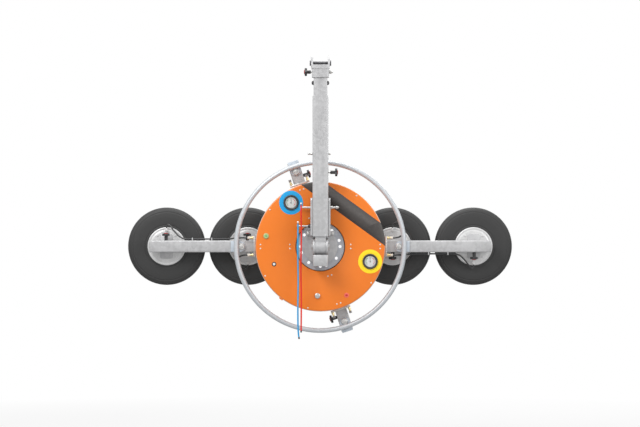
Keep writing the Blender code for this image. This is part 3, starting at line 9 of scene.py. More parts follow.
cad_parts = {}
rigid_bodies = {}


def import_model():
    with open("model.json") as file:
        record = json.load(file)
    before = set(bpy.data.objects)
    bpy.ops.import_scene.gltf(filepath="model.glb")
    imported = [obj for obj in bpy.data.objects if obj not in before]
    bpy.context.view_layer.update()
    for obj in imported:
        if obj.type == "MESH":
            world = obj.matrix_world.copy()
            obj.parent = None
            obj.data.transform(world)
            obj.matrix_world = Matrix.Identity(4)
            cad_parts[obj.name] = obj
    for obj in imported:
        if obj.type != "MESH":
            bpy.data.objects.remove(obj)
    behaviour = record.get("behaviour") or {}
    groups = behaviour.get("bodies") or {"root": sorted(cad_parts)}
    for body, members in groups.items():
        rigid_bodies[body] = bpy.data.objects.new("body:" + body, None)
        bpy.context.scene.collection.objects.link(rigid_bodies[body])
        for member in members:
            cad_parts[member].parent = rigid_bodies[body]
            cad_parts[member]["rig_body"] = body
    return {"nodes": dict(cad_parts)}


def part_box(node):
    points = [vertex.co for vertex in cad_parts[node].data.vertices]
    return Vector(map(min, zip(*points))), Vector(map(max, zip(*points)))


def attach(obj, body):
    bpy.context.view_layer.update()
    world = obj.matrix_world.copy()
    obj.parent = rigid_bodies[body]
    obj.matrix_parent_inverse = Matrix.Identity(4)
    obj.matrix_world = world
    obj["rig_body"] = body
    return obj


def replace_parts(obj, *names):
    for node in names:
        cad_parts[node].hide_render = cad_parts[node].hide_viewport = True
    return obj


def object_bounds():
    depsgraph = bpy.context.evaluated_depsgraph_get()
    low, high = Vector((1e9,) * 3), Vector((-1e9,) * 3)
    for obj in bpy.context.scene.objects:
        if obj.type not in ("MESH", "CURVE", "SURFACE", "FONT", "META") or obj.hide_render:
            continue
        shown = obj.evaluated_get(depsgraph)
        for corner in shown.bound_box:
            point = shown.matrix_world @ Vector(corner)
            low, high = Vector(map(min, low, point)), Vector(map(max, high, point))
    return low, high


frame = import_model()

cad_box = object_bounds()
nodes = frame["nodes"]

# Studio
# A white packshot room: a pale floor below the hanging lifter, a white world behind it, and soft
# lights from the upper left, the right, above and behind. The camera stands far off, a little
# above and left of the pads, with its lens shifted back to them.
CAMERA_DISTANCE = 16.0
CAMERA_SIDE = -0.12
CAMERA_HEIGHT = -0.80
PICTURE_MIDDLE = -0.761     # height of the pads' plane at the picture's middle row
IMAGE_WIDTH = 640
METRES_PER_PIXEL = 0.005165
PAD_FACE_DEPTH = 0.30
SENSOR = 36.0


def linked(name, data):
    """A new object in the scene."""
    made = bpy.data.objects.new(name, data)
    bpy.context.scene.collection.objects.link(made)
    return made


def to_data(mesh, name="shell"):
    """The mesh data of a bmesh, which is used up."""
    data = bpy.data.meshes.new(name)
    mesh.to_mesh(data)
    mesh.free()
    return data


camera = bpy.data.cameras.new("camera")
camera.sensor_width = SENSOR
camera.lens = SENSOR * CAMERA_DISTANCE / (METRES_PER_PIXEL * IMAGE_WIDTH)
camera.shift_x = -CAMERA_SIDE / (METRES_PER_PIXEL * IMAGE_WIDTH)
camera.shift_y = (PICTURE_MIDDLE - CAMERA_HEIGHT) / (METRES_PER_PIXEL * IMAGE_WIDTH)
camera.clip_end = 60.0
camera_object = linked("camera", camera)
camera_object.location = (CAMERA_SIDE, PAD_FACE_DEPTH - CAMERA_DISTANCE, CAMERA_HEIGHT)
camera_object.rotation_euler = (math.radians(90), 0, 0)
bpy.context.scene.camera = camera_object
bpy.context.scene.view_settings.view_transform = "Standard"


def soft_light(name, place, aim, size, power):
    """One square area light that faces a point."""
    light = bpy.data.lights.new(name, "AREA")
    light.size = size
    light.energy = power
    lamp = linked(name, light)
    lamp.location = place
    lamp.rotation_euler = (Vector(aim) - Vector(place)).to_track_quat("-Z", "Y").to_euler()


soft_light("key_light", (-2.6, -3.6, 2.4), (0, 0, -0.8), 2.6, 185)
soft_light("fill_light", (3.4, -3.4, 0.2), (0, 0, -0.9), 3.0, 66)
soft_light("top_light", (0.2, 0.2, 2.8), (0, 0.1, -0.9), 2.4, 90)
soft_light("back_light", (1.5, 4.0, 0.8), (0, 0.2, -0.9), 3.0, 60)


class Value:
    """One output of a shader node. Arithmetic on it adds Math nodes to its own tree."""

    def __init__(self, tree, socket):
        self.tree = tree
        self.socket = socket

    def node(self, kind, inputs, output=0, **settings):
        """Add a shader node: its settings first, then the values or links of its sockets."""
        made = self.tree.nodes.new("ShaderNode" + kind)
        for key, setting in settings.items():
            setattr(made, key, setting)
        for key, given in inputs.items():
            if isinstance(given, Value):
                self.tree.links.new(given.socket, made.inputs[key])
            else:
                made.inputs[key].default_value = given
        return Value(self.tree, made.outputs[output])

    def maths(self, operation, first, second=0.0):
        return self.node("Math", {0: first, 1: second}, operation=operation)

    def __add__(self, other):
        return self.maths("ADD", self, other)

    __radd__ = __add__

    def __sub__(self, other):
        return self.maths("SUBTRACT", self, other)

    def __rsub__(self, other):
        return self.maths("SUBTRACT", other, self)

    def __mul__(self, other):
        return self.maths("MULTIPLY", self, other)

    __rmul__ = __mul__

    def clamped(self):
        return self.node("Clamp", {"Value": self})

    def spread(self, start, end, low=0.0, high=1.0):
        """Map this value, which runs from start to end, to the run from low to high."""
        return self.node("MapRange", {"Value": self, "From Min": start, "From Max": end, "To Min": low,
                                      "To Max": high})

    def length(self):
        return self.node("VectorMath", {0: self}, 1, operation="LENGTH")

    def mixed(self, first, second):
        """Blend two colours by this value."""
        return self.node("Mix", {0: self, 6: first, 7: second}, 2, data_type="RGBA")


def coordinates(tree):
    """The Object coordinates of a material."""
    return Value(tree, tree.nodes.new("ShaderNodeTexCoord").outputs["Object"])


AMBIENT = 0.56              # what the white room casts; to the camera and in reflections it is white
world = bpy.data.worlds.new("white_room")
bpy.context.scene.world = world
world.use_nodes = True
sky = world.node_tree
rays = sky.nodes.new("ShaderNodeLightPath").outputs
seen = Value(sky, rays["Is Camera Ray"])
for kind in ("Is Transmission Ray", "Is Glossy Ray"):
    seen = seen.maths("MAXIMUM", seen, Value(sky, rays[kind]))
backdrop = sky.nodes["Background"]
sky.links.new((seen * (1.0 - AMBIENT) + AMBIENT).socket, backdrop.inputs["Strength"])
backdrop.inputs["Color"].default_value = (1, 1, 1, 1)

FLOOR_DROP = 0.55           # from the lowest point of the lifter to the floor
FLOOR_HALF = 9.0
FLOOR_GREY = (0.42, 0.42, 0.42, 1)
FLOOR_SEEN = (0.62, 0.62, 0.62, 1)
FADE_START = 1.6            # up to here half of the floor's look is glow, from FADE_END on all of it
FADE_END = 5.0
floor_mesh = bmesh.new()
bmesh.ops.create_grid(floor_mesh, x_segments=1, y_segments=1, size=FLOOR_HALF,
                      matrix=Matrix.Translation((0, 0, cad_box[0][2] - FLOOR_DROP)))
floor = linked("floor", to_data(floor_mesh, "floor"))
floor_paint = bpy.data.materials.new("white_floor")
floor_paint.use_nodes = True
floor_tree = floor_paint.node_tree
floor_shader = floor_tree.nodes["Principled BSDF"]
floor_shader.inputs["Roughness"].default_value = 0.9
straight = Value(floor_tree, floor_tree.nodes.new("ShaderNodeLightPath").outputs["Is Camera Ray"])
floor_tree.links.new(straight.mixed(FLOOR_GREY, FLOOR_SEEN).socket, floor_shader.inputs["Base Color"])
fade = coordinates(floor_tree).length().spread(FADE_START, FADE_END, 0.5, 1.0)
glow = straight.node("Emission", {"Strength": 1.0})
paint = Value(floor_tree, floor_shader.outputs[0])
blend = straight.node("MixShader", {0: straight * fade, 1: paint, 2: glow})
floor_tree.links.new(blend.socket, floor_tree.nodes["Material Output"].inputs["Surface"])
floor.data.materials.append(floor_paint)

# Pull cords
# Two braided polyester cords, red and blue, hang from the cranks of the tilt lock and of the
# turning lock. Each is cut off bare, and they run down in front of the casing past its lower edge.
casing_low, casing_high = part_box("casing_pan")
FRONT = casing_low[1]
HUB_HEIGHT = (casing_low[2] + casing_high[2]) / 2
CORD_DIAMETER = 0.008


def at(x, y, z):
    """A point given across, behind the casing's front face, and above the turning axis."""
    return Vector((x, FRONT + y, HUB_HEIGHT + z))


HUB = at(0, 0, 0)


def tint(red, green, blue):
    """A screen colour, 0 to 255 a channel, as the linear colour that a shader takes."""
    linear = []
    for part in (red, green, blue):
        share_of_white = part / 255
        if share_of_white <= 0.04045:
            linear.append(share_of_white / 12.92)
        else:
            linear.append(((share_of_white + 0.055) / 1.055) ** 2.4)
    return (*linear, 1.0)


def new_finish(name, roughness, metallic=0.0):
    """A Principled material with its own tree; returns it, its shader and its Object coordinates."""
    made = bpy.data.materials.new(name)
    made.use_nodes = True
    tree = made.node_tree
    shader = tree.nodes["Principled BSDF"]
    shader.inputs["Roughness"].default_value = roughness
    shader.inputs["Metallic"].default_value = metallic
    return made, shader, coordinates(tree)


def feed(shader, **values):
    """Link values to a shader's inputs, named with underscores for spaces."""
    for name, value in values.items():
        tree = value.tree
        tree.links.new(value.socket, shader.inputs[name.replace("_", " ").title()])


def noise(place, scale, detail=2.0, roughness=0.5):
    return place.node("TexNoise", {"Vector": place, "Scale": scale, "Detail": detail, "Roughness": roughness})


def relief(height, distance, strength=1.0):
    return height.node("Bump", {"Height": height, "Distance": distance, "Strength": strength})


def braid(name, colour, shadow, middle, tip):
    """Braided cord: strands that cross in a fine diamond pattern, sealed dark at its lower end."""
    made, shader, place = new_finish(name, 0.8)
    parts = place.node("SeparateXYZ", {"Vector": place}).socket.node.outputs
    across = Value(place.tree, parts[0]) - middle.x
    depth = Value(place.tree, parts[1]) - middle.y
    height = Value(place.tree, parts[2])
    around = across.maths("ARCTAN2", depth, across) * STRANDS
    climb = height * (2 * math.pi / BRAID_PITCH)
    rising = around.maths("SINE", around + climb)
    falling = around.maths("SINE", around - climb)
    weave = rising * falling * 0.5 + 0.5
    fibre = (weave * 0.75 + noise(place, 400.0) * 0.25).clamped().mixed(shadow, colour)
    sealed = height.maths("LESS_THAN", height, tip + SEALED_LENGTH)
    feed(shader, base_color=sealed.mixed(fibre, tint(38, 30, 34)), normal=relief(weave, 0.0005))
    return made


def smooth_path(route, spacing):
    """Points along a smooth curve through a route's own points."""
    knots = [Vector(point) for point in route]
    ends = [2 * knots[0] - knots[1]] + knots + [2 * knots[-1] - knots[-2]]
    points = []
    for i in range(1, len(ends) - 2):
        before, start, stop, after = ends[i - 1:i + 3]
        steps = max(1, round((stop - start).length / spacing))
        for step in range(steps):
            t = step / steps
            points.append(0.5 * (2 * start + (stop - before) * t
                                 + (2 * before - 5 * start + 4 * stop - after) * t ** 2
                                 + (3 * start - before - 3 * stop + after) * t ** 3))
    return points + [knots[-1]]


def placed(name, data, material, body):
    """A finished object that rides on a body."""
    data.materials.append(material)
    made = linked(name, data)
    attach(made, body)
    return made


def tube_piece(name, points, diameter, material, body, slot):
    """A round cord or hose along its points."""
    curve = bpy.data.curves.new(name, "CURVE")
    curve.dimensions = "3D"
    curve.bevel_depth = diameter / 2
    curve.bevel_resolution = 6
    curve.use_fill_caps = True
    spline = curve.splines.new("POLY")
    spline.points.add(len(points) - 1)
    for point, place in zip(spline.points, points):
        point.co = (*place, 1.0)
    return placed(name, curve, material, body)


STRANDS = 4
BRAID_PITCH = 0.009
SEALED_LENGTH = 0.010
CRANK_TIP_DEPTH = -0.0812
STRAIGHT_RUN = 0.04994      # below the crank's eye
RED_X = -0.098
BLUE_X = -0.114
CORDS = (("red", "tilt", RED_X, 0.20994, -0.435, 0.645, tint(242, 60, 44), tint(206, 34, 28),
          ((0.25, 0.001), (0.5, -0.001), (0.75, 0.001), (1.0, 0.0))),
         ("blue", "turn", BLUE_X, 0.11494, -0.468, 0.583, tint(46, 178, 232), tint(20, 132, 196),
          ((0.25, -0.0005), (0.5, 0.001), (0.75, -0.0005), (0.92, 0.001), (1.0, 0.006))))
for name, lock, x, start, end, length, colour, shadow, drift in CORDS:
    top = at(x, CRANK_TIP_DEPTH, start)
    route = [top, at(x, CRANK_TIP_DEPTH, start - STRAIGHT_RUN)]
    for share, sway in drift:
        route.append(at(x + sway, CRANK_TIP_DEPTH + sway / 2, start + (end - start) * share))
    woven = braid(name + "_braid", colour, shadow, top, HUB_HEIGHT + end)
    cord = tube_piece(name + "_pull_cord", smooth_path(route, 0.012), CORD_DIAMETER, woven,
                      lock + "_cord", name + "_cord")
    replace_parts(cord, lock + "_lock_cord")

# Mast and crane head
# Hot-dip galvanised square tube and plate: dull grey with faint spangles and cloudy patches. The
# tubes keep their rolled round corners, and the cut plates have lightly broken edges.


def galvanised(name, dark, light, roughness=0.4, metallic=0.3):
    """Zinc coat: small crystals, cloudy patches and a few runs down the faces."""
    made, shader, place = new_finish(name, roughness, metallic)
    cells = place.node("TexVoronoi", {"Vector": place, "Scale": 85.0}, 1)
    crystal = place.node("SeparateXYZ", {"Vector": cells})
    cloud = noise(place, 14.0, 5.0, 0.6)
    stretched = place.node("Mapping", {"Vector": place, "Scale": (60.0, 60.0, 7.0)})
    mottle = (crystal * 0.26 + cloud * 0.55 + noise(stretched, 1.0, 3.0) * 0.35 - 0.08).clamped()
    feed(shader, base_color=mottle.mixed(dark, light),
         roughness=crystal * 0.14 + cloud * 0.2 + (roughness - 0.17),
         normal=relief(mottle + noise(place, 700.0) * 0.2, 0.00025))
    return made


CREASE = math.radians(35)
FLAT = math.radians(0.5)
BREAK_ANGLE = math.radians(32)


def joined(shells):
    """One bmesh from a list of them; a single bmesh stays as it is."""
    if not isinstance(shells, list):
        return shells
    for added in shells[1:]:
        data = to_data(added)
        shells[0].from_mesh(data)
        bpy.data.meshes.remove(data)
    return shells[0]


def piece(name, shells, material, body, slot, *stands_for):
    """One or more bmeshes become a finished piece that rides on a body and stands for its CAD nodes."""
    mesh = joined(shells)
    bmesh.ops.remove_doubles(mesh, verts=mesh.verts, dist=1e-6)
    bmesh.ops.recalc_face_normals(mesh, faces=mesh.faces)
    data = to_data(mesh, name)
    data.shade_smooth()
    data.set_sharp_from_angle(angle=CREASE)
    made = placed(name, data, material, body)
    if stands_for:
        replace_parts(made, *stands_for)
    return made


def soften(made, width, segments=2):
    """Break a piece's sharp edges."""
    step = made.modifiers.new("broken_edges", "BEVEL")
    step.limit_method = "ANGLE"
    step.angle_limit = BREAK_ANGLE
    step.width = width
    step.segments = segments
    step.harden_normals = True


def dressed(node, material, slot, width, segments=2):
    """A copy of a CAD node with whole flat faces and broken edges."""
    mesh = bmesh.new()
    mesh.from_mesh(nodes[node].data)
    bmesh.ops.remove_doubles(mesh, verts=mesh.verts, dist=1e-6)
    bmesh.ops.dissolve_limit(mesh, angle_limit=FLAT, verts=mesh.verts, edges=mesh.edges)
    soften(piece(node + "_finish", mesh, material, nodes[node]["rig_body"], slot, node), width, segments)


STEEL = galvanised("galvanised_steel", tint(156, 156, 157), tint(200, 200, 201))
dressed("mast_tube", STEEL, "steel", 0.0006)
dressed("insert_tube", STEEL, "steel", 0.0006)
dressed("crane_fork", STEEL, "steel", 0.0012)

# Crane pin and bolts of the mast
# The crane pin is a blackened steel bar between the head's ears. The top bolt and the cross pin have
# low domed heads that stand out on both sides of the tubes.


def along(start, end):
    """Matrix that lays the Z axis from start towards end."""
    run = Vector(end) - Vector(start)
    return Matrix.Translation(start) @ run.to_track_quat("Z", "Y").to_matrix().to_4x4()


def softened(outline, radius):
    """The outline with its corners rounded off, apart from those on the axis of a turned piece."""
    result = []
    for i, corner in enumerate(outline):
        here = Vector(corner)
        before = Vector(outline[i - 1]) - here
        after = Vector(outline[(i + 1) % len(outline)]) - here
        if abs(here.x) < 1e-6:
            result.append(tuple(here))
            continue
        reach = min(radius, before.length * 0.45, after.length * 0.45)
        first = here + before.normalized() * reach
        last = here + after.normalized() * reach
        for t in (0, 1 / 3, 2 / 3, 1):
            result.append(tuple(first * (1 - t) ** 2 + here * 2 * t * (1 - t) + last * t ** 2))
    return result


def lathe(profile, middle, axis=(0, 1, 0), steps=96):
    """Turn an outline of (radius, distance along the axis) points about an axis."""
    turned = bmesh.new()
    verts = [turned.verts.new((radius, 0, height)) for radius, height in profile]
    edges = [turned.edges.new(pair) for pair in zip(verts, verts[1:] + verts[:1])]
    bmesh.ops.spin(turned, geom=verts + edges, cent=(0, 0, 0), axis=(0, 0, 1), angle=2 * math.pi,
                   steps=steps, use_merge=True)
    bmesh.ops.remove_doubles(turned, verts=turned.verts, dist=1e-6)
    loose = [edge for edge in turned.edges if not edge.link_faces]
    bmesh.ops.delete(turned, geom=loose, context="EDGES")
    bmesh.ops.transform(turned, matrix=along(middle, Vector(middle) + Vector(axis)), verts=turned.verts)
    bmesh.ops.recalc_face_normals(turned, faces=turned.faces)
    return turned


def bar(radius, start, end, edge=0.0006, steps=32):
    """A round bar from start to end, with its end edges broken."""
    start = Vector(start)
    run = Vector(end) - start
    profile = softened([(0, 0), (radius, 0), (radius, run.length), (0, run.length)], edge)
    return lathe(profile, start, run.normalized(), steps)


def turned_piece(name, profile, edge, foot, steps, *looks, axis=(0, 1, 0)):
    """A piece turned from one softened profile; looks are its material, body, slot and CAD nodes; the slot is
    not used.
    """
    return piece(name, lathe(softened(profile, edge), foot, axis, steps), *looks)


def cross_bar(radius, left, right, depth, height, edge=0.0006, steps=32):
    """A round bar across the lifter, from one place on X to another."""
    return bar(radius, at(left, depth, height), at(right, depth, height), edge, steps)


def worn(name, dark, light, roughness, metallic, spots, dull=None, bump=None):
    """A finish varied by one noise: dull gives its share of the roughness and what is added to it."""
    made, shader, place = new_finish(name, roughness, metallic)
    wear = noise(place, *spots)
    feed(shader, base_color=wear.mixed(dark, light))
    if dull:
        feed(shader, roughness=wear * dull[0] + dull[1])
    if bump:
        feed(shader, normal=relief(wear, *bump))
    return made


blackened = worn("blackened_steel", tint(52, 52, 54), tint(96, 96, 98), 0.38, 0.7, (60.0, 4.0), (0.25, 0.25))
zinc = worn("zinc_plating", tint(168, 168, 166), tint(214, 214, 212), 0.3, 0.75, (90.0, 4.0), (0.25, 0.2))
AXIS_DEPTH = -FRONT
HEAD_BOLT_HEIGHT = 0.830
HEAD_KNOB_HEIGHT = 0.8849
STOP_PIN_HEIGHT = 0.471
BLOCK_HALF = 0.0436
pin_low, pin_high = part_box("crane_pin")
pin = [bar(0.009, (pin_low[0], 0, 0), (pin_high[0], 0, 0), 0.001)]
stop_low, stop_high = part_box("stop_pin")
stops = [cross_bar(0.004, stop_low[0] + 0.003, stop_high[0] - 0.003, AXIS_DEPTH, STOP_PIN_HEIGHT),
         cross_bar(0.0055, -0.064, -0.050, AXIS_DEPTH, STOP_PIN_HEIGHT, 0.001)]
bolts = []
DOME = softened([(0, 0), (0.0105, 0), (0.0105, 0.0042), (0.0086, 0.008), (0.0045, 0.01), (0, 0.0104)], 0.0007)
STOP_HEAD = softened([(0, 0), (0.0062, 0), (0.0062, 0.004), (0.0045, 0.0115), (0, 0.012)], 0.0008)
for sign in (-1, 1):
    pin.append(bar(0.0135, (sign * 0.0483, 0, 0), (sign * 0.0543, 0, 0), 0.0012))
    bolts.append(lathe(DOME, at(sign * 0.0346, AXIS_DEPTH, HEAD_BOLT_HEIGHT), (sign, 0, 0), 32))
    stops.append(lathe(STOP_HEAD, at(sign * 0.0405, AXIS_DEPTH, STOP_PIN_HEIGHT), (sign, 0, 0), 32))
piece("crane_pin_bar", pin, blackened, "head", "dark_steel", "crane_pin")
piece("head_bolt", bolts, blackened, "head", "dark_steel")
turned_piece("fork_knob_boss", [(0.0056, 0), (0.0086, 0), (0.0086, 0.013), (0.0056, 0.013)], 0.0012,
             at(BLOCK_HALF, AXIS_DEPTH, HEAD_KNOB_HEIGHT), 40, zinc, "head", "zinc", axis=(1, 0, 0))
piece("stop_pin_finish", stops, zinc, "mast", "zinc", "stop_pin")

# Yoke
# A welded yoke swings on the tilt pin and carries the chassis: two ears on a round flange, a solid
# stop block below, and a raised seat above that the lock bracket is screwed to. All is galvanised.


def arc(radius, first, last, steps, x=0.0, y=0.0):
    """Points of an arc round (x, y), between two angles in degrees."""
    turns = [math.radians(first + (last - first) * i / steps) for i in range(steps + 1)]
    return [(x + radius * math.cos(turn), y + radius * math.sin(turn)) for turn in turns]


def slab(low, high, edge=0.0008, place=None):
    """A box between two corners with its edges broken."""
    low = Vector(low)
    high = Vector(high)
    box_mesh = bmesh.new()
    size = Matrix.Diagonal((*(high - low), 1))
    bmesh.ops.create_cube(box_mesh, size=1.0, matrix=Matrix.Translation((low + high) / 2) @ size)
    bmesh.ops.bevel(box_mesh, geom=box_mesh.edges[:], offset=edge, segments=2, profile=0.5, affect="EDGES",
                    material=-1)
    if place:
        bmesh.ops.transform(box_mesh, matrix=place, verts=box_mesh.verts)
    return box_mesh


def plate(outline, depth, place, edge=0.0006):
    """An outline pushed along its own Z by the depth, with the edges of both faces broken."""
    sheet = bmesh.new()
    face = sheet.faces.new([sheet.verts.new((x, y, 0)) for x, y in outline])
    pushed = bmesh.ops.extrude_face_region(sheet, geom=[face])["geom"]
    top = [item for item in pushed if isinstance(item, bmesh.types.BMVert)]
    bmesh.ops.translate(sheet, verts=top, vec=(0, 0, depth))
    sheet.normal_update()
    caps = [item for item in sheet.faces if len(item.verts) == len(outline)]
    rims = list({rim for cap in caps for rim in cap.edges})
    bmesh.ops.bevel(sheet, geom=rims, offset=edge, segments=2, profile=0.5, affect="EDGES", material=-1)
    bmesh.ops.transform(sheet, matrix=place, verts=sheet.verts)
    bmesh.ops.recalc_face_normals(sheet, faces=sheet.faces)
    return sheet


def lay(x_axis, y_axis, origin):
    """Matrix that lays an outline's X and Y along two axes of the lifter."""
    x_axis = Vector(x_axis)
    y_axis = Vector(y_axis)
    turn = Matrix((x_axis, y_axis, x_axis.cross(y_axis))).transposed().to_4x4()
    return Matrix.Translation(origin) @ turn


FLANGE_FRONT = -0.0028
FLANGE_BACK = 0.0092
FLANGE_RADIUS = 0.088
EAR_RADIUS = 0.041
EAR_INNER = 0.0275
EAR_OUTER = 0.0392
flange = [(0, 0), (FLANGE_RADIUS, 0), (FLANGE_RADIUS, 0.012), (0, 0.012)]
yoke = [lathe(softened(flange, 0.001), at(0, FLANGE_FRONT, 0))]
for proud, half, top in ((0.0001, 0.072, 0.080), (0.0002, 0.046, 0.108)):
    yoke.append(slab(at(-half, FLANGE_FRONT - proud, 0.030), at(half, FLANGE_BACK, top), 0.001))
ear_outline = [(FLANGE_FRONT + 0.004, -EAR_RADIUS), (FLANGE_FRONT + 0.004, EAR_RADIUS)]
ear_outline += arc(EAR_RADIUS, 90, 270, 24, AXIS_DEPTH)
for start in (EAR_INNER, -EAR_OUTER):
    ear_place = lay((0, 1, 0), (0, 0, 1), at(start, 0, 0))
    yoke.append(plate(ear_outline, EAR_OUTER - EAR_INNER, ear_place, 0.001))
yoke.append(slab(at(-0.037, -0.160, -0.0985), at(0.037, 0.0012, -0.0405), 0.003))
piece("yoke_weldment", yoke, STEEL, "yoke", "steel", "yoke_frame")
tilt_pin = [cross_bar(0.012, -0.0425, 0.0425, AXIS_DEPTH, 0)]
for sign in (-1, 1):
    tilt_pin.append(cross_bar(0.016, sign * 0.0395, sign * 0.0445, AXIS_DEPTH, 0, 0.0012))
piece("tilt_pin_finish", tilt_pin, zinc, "yoke", "zinc", "tilt_pin")

# Lock bracket and its two locks
# A bracket of folded plate stands round the back of the mast. The tilt lock's shaft runs through
# both cheeks, and the turning lock's through the left one. Each has a crank with a cord's eye.
dressed("lock_bracket", STEEL, "steel", 0.0015)
SHAFT_RADIUS = 0.005
SHAFT_DEPTH = -0.024
COLLAR_RADIUS = 0.0085
TILT_LOCK = 0.199
TURN_LOCK = 0.104
CRANK = 0.060
CRANK_RISE = math.radians(17.5)
EYE_HALF = Vector((0.004, 0, 0))


def polygon(radius, count, middle=0.0):
    """Corners of a regular polygon round a point on the first axis."""
    return arc(radius, 0, 360, count, middle)[:-1]


def facing(place):
    """Matrix that lays an outline across the front view, at a place of the lifter."""
    return lay((1, 0, 0), (0, 0, 1), place)


def crank_and_eye(x, height):
    """Crank from a lock shaft towards the operator, with the eye that its cord hangs from."""
    root = at(x, SHAFT_DEPTH, height)
    tip = root + CRANK * Vector((0, -math.cos(CRANK_RISE), math.sin(CRANK_RISE)))
    return [bar(0.0035, root, tip, 0.0004, 20), bar(0.0065, tip - EYE_HALF, tip + EYE_HALF, 0.001)]


tilt_lever = [cross_bar(SHAFT_RADIUS, -0.103, 0.094, SHAFT_DEPTH, TILT_LOCK, 0.0008)]
tilt_lever += crank_and_eye(RED_X, TILT_LOCK)
for left, right in ((0.0517, 0.0627), (0.078, 0.089)):
    tilt_lever.append(cross_bar(COLLAR_RADIUS, left, right, SHAFT_DEPTH, TILT_LOCK, 0.001))
tilt_lever += [slab(at(-0.010, -0.029, 0.163), at(0.010, -0.019, 0.206)),
               slab(at(-0.010, -0.0447, 0.163), at(0.010, -0.024, 0.175))]
piece("tilt_lock_shaft", tilt_lever, zinc, "tilt_lock_lever", "zinc", "tilt_lock_lever")
turn_lever = [cross_bar(SHAFT_RADIUS, -0.119, -0.039, SHAFT_DEPTH, TURN_LOCK, 0.0008)]
turn_lever += crank_and_eye(BLUE_X, TURN_LOCK)
turn_lever += [slab(at(-0.040, -0.025, 0.104), at(-0.0385, -0.019, 0.119), 0.0003),
               cross_bar(0.0015, -0.040, -0.028, -0.021, 0.117, 0.0003, 12)]
piece("turn_lock_shaft", turn_lever, zinc, "turn_lock_lever", "zinc", "turn_lock_lever")
piece("turn_lock_bush", cross_bar(COLLAR_RADIUS, -0.0625, -0.0517, SHAFT_DEPTH, TURN_LOCK, 0.001),
      blackened, "turn_lock_lever", "dark_steel")
HOLE_CIRCLE = 0.1007
PLUNGER_ANGLE = math.radians(108)
plunger_x = HOLE_CIRCLE * math.cos(PLUNGER_ANGLE)
plunger_z = HOLE_CIRCLE * math.sin(PLUNGER_ANGLE)
plunger_bar = bar(0.0065, at(plunger_x, -0.024, plunger_z), at(plunger_x, 0.0092, plunger_z), 0.0008)
plunger_plate = slab(at(plunger_x - 0.0055, -0.026, plunger_z - 0.008), at(plunger_x + 0.008, -0.023, 0.121),
                     0.0006)
piece("turn_lock_plunger", [plunger_bar, plunger_plate], zinc, "plunger", "zinc", "index_plunger")
feet = []
for sign in (-1, 1):
    foot = at(sign * 0.061, FLANGE_FRONT - 0.0125, 0.066)
    washer_foot = foot + Vector((0, 0.0004, 0))
    feet.append(bar(0.0085, washer_foot, foot + Vector((0, -0.0012, 0)), 0.0003))
    head_place = facing(foot + Vector((0, -0.001, 0)))
    feet.append(plate(polygon(0.0068, 6), 0.0042, head_place, 0.0006))
piece("bracket_screws", feet, zinc, "yoke", "zinc")

# Hub
# The index plate is a turned steel ring with twelve through holes. The turning spindle runs through
# its middle in a bronze bush, and ends behind in a washer and a nut.
INDEX_RADIUS = 0.1222
INDEX_BORE = 0.029
INDEX_THICKNESS = 0.012
HOLE_RADIUS = 0.0078


def carve(mesh, tools):
    """Cut one or more bmeshes out of another."""
    holders = []
    for part in (mesh, joined(tools)):
        bmesh.ops.recalc_face_normals(part, faces=part.faces)
        holders.append(linked("raw", to_data(part)))
    step = holders[0].modifiers.new("shape", "BOOLEAN")
    step.operation = "DIFFERENCE"
    step.object = holders[1]
    shaped = holders[0].evaluated_get(bpy.context.evaluated_depsgraph_get())
    result = bmesh.new()
    result.from_mesh(shaped.to_mesh())
    shaped.to_mesh_clear()
    for holder in holders:
        bpy.data.objects.remove(holder)
    return result


TURNED_STEEL = galvanised("turned_steel", tint(150, 153, 159), tint(190, 193, 199), 0.4, 0.2)
disc = [(INDEX_BORE, 0), (INDEX_RADIUS, 0), (INDEX_RADIUS, INDEX_THICKNESS), (INDEX_BORE, INDEX_THICKNESS)]
index_mesh = lathe(disc, at(0, 0.0095, 0), steps=128)
drills = []
for quarter in range(4):
    for angle in (0, 18, 54):
        turn = math.radians(angle + 90 * quarter)
        x = HOLE_CIRCLE * math.cos(turn)
        z = HOLE_CIRCLE * math.sin(turn)
        drills.append(bar(HOLE_RADIUS, at(x, 0, z), at(x, 0.03, z), 0.0001, 40))
index_ring = piece("index_ring", carve(index_mesh, drills), TURNED_STEEL, "chassis", "steel", "index_plate")
soften(index_ring, 0.0006)
spindle = [(0, -0.0018), (0.025, -0.0018), (0.025, 0.1546), (0.044, 0.1546), (0.044, 0.1586), (0.020, 0.1586),
           (0.020, 0.1766), (0, 0.1766)]
nut = plate(polygon(0.036, 6), 0.014, lay((0, 0, 1), (1, 0, 0), at(0, 0.1576, 0)), 0.0015)
piece("spindle_and_nut", [lathe(softened(spindle, 0.0008), HUB, steps=64), nut], zinc, "yoke", "zinc",
      "rotation_spindle")
bronze = worn("bearing_bronze", tint(150, 108, 58), tint(196, 150, 92), 0.35, 0.85, (40.0, 3.0))
bush_profile = [(0.0256, 0.0221), (0.0417, 0.0221), (0.0417, 0.1529), (0.0477, 0.1529), (0.0477, 0.1543),
                (0.0256, 0.1543)]
piece("hub_bush", lathe(bush_profile, HUB, steps=64), bronze, "chassis", "bronze", "spindle_bush")

# Chassis
# Hub ring, bearing tube, four webs and four square beams are welded into one galvanised frame. The
# beams stand at 0, 108, 180 and 288 degrees, and the inner pads hang on the two level ones.
BEAM_ANGLES = {"right": 0, "top": 108, "left": 180, "bottom": 288}
BEAM_FRONT = 0.0926
BEAM_MID = 0.1226
BEAM_BACK = 0.1526
BEAM_SIZE = 0.060
BEAM_END = 0.452


def beam_turn(angle):
    """Matrix that turns a shape drawn round the hub along +X to an angle of the front view."""
    return Matrix.Translation(HUB) @ Matrix.Rotation(-math.radians(angle), 4, "Y")


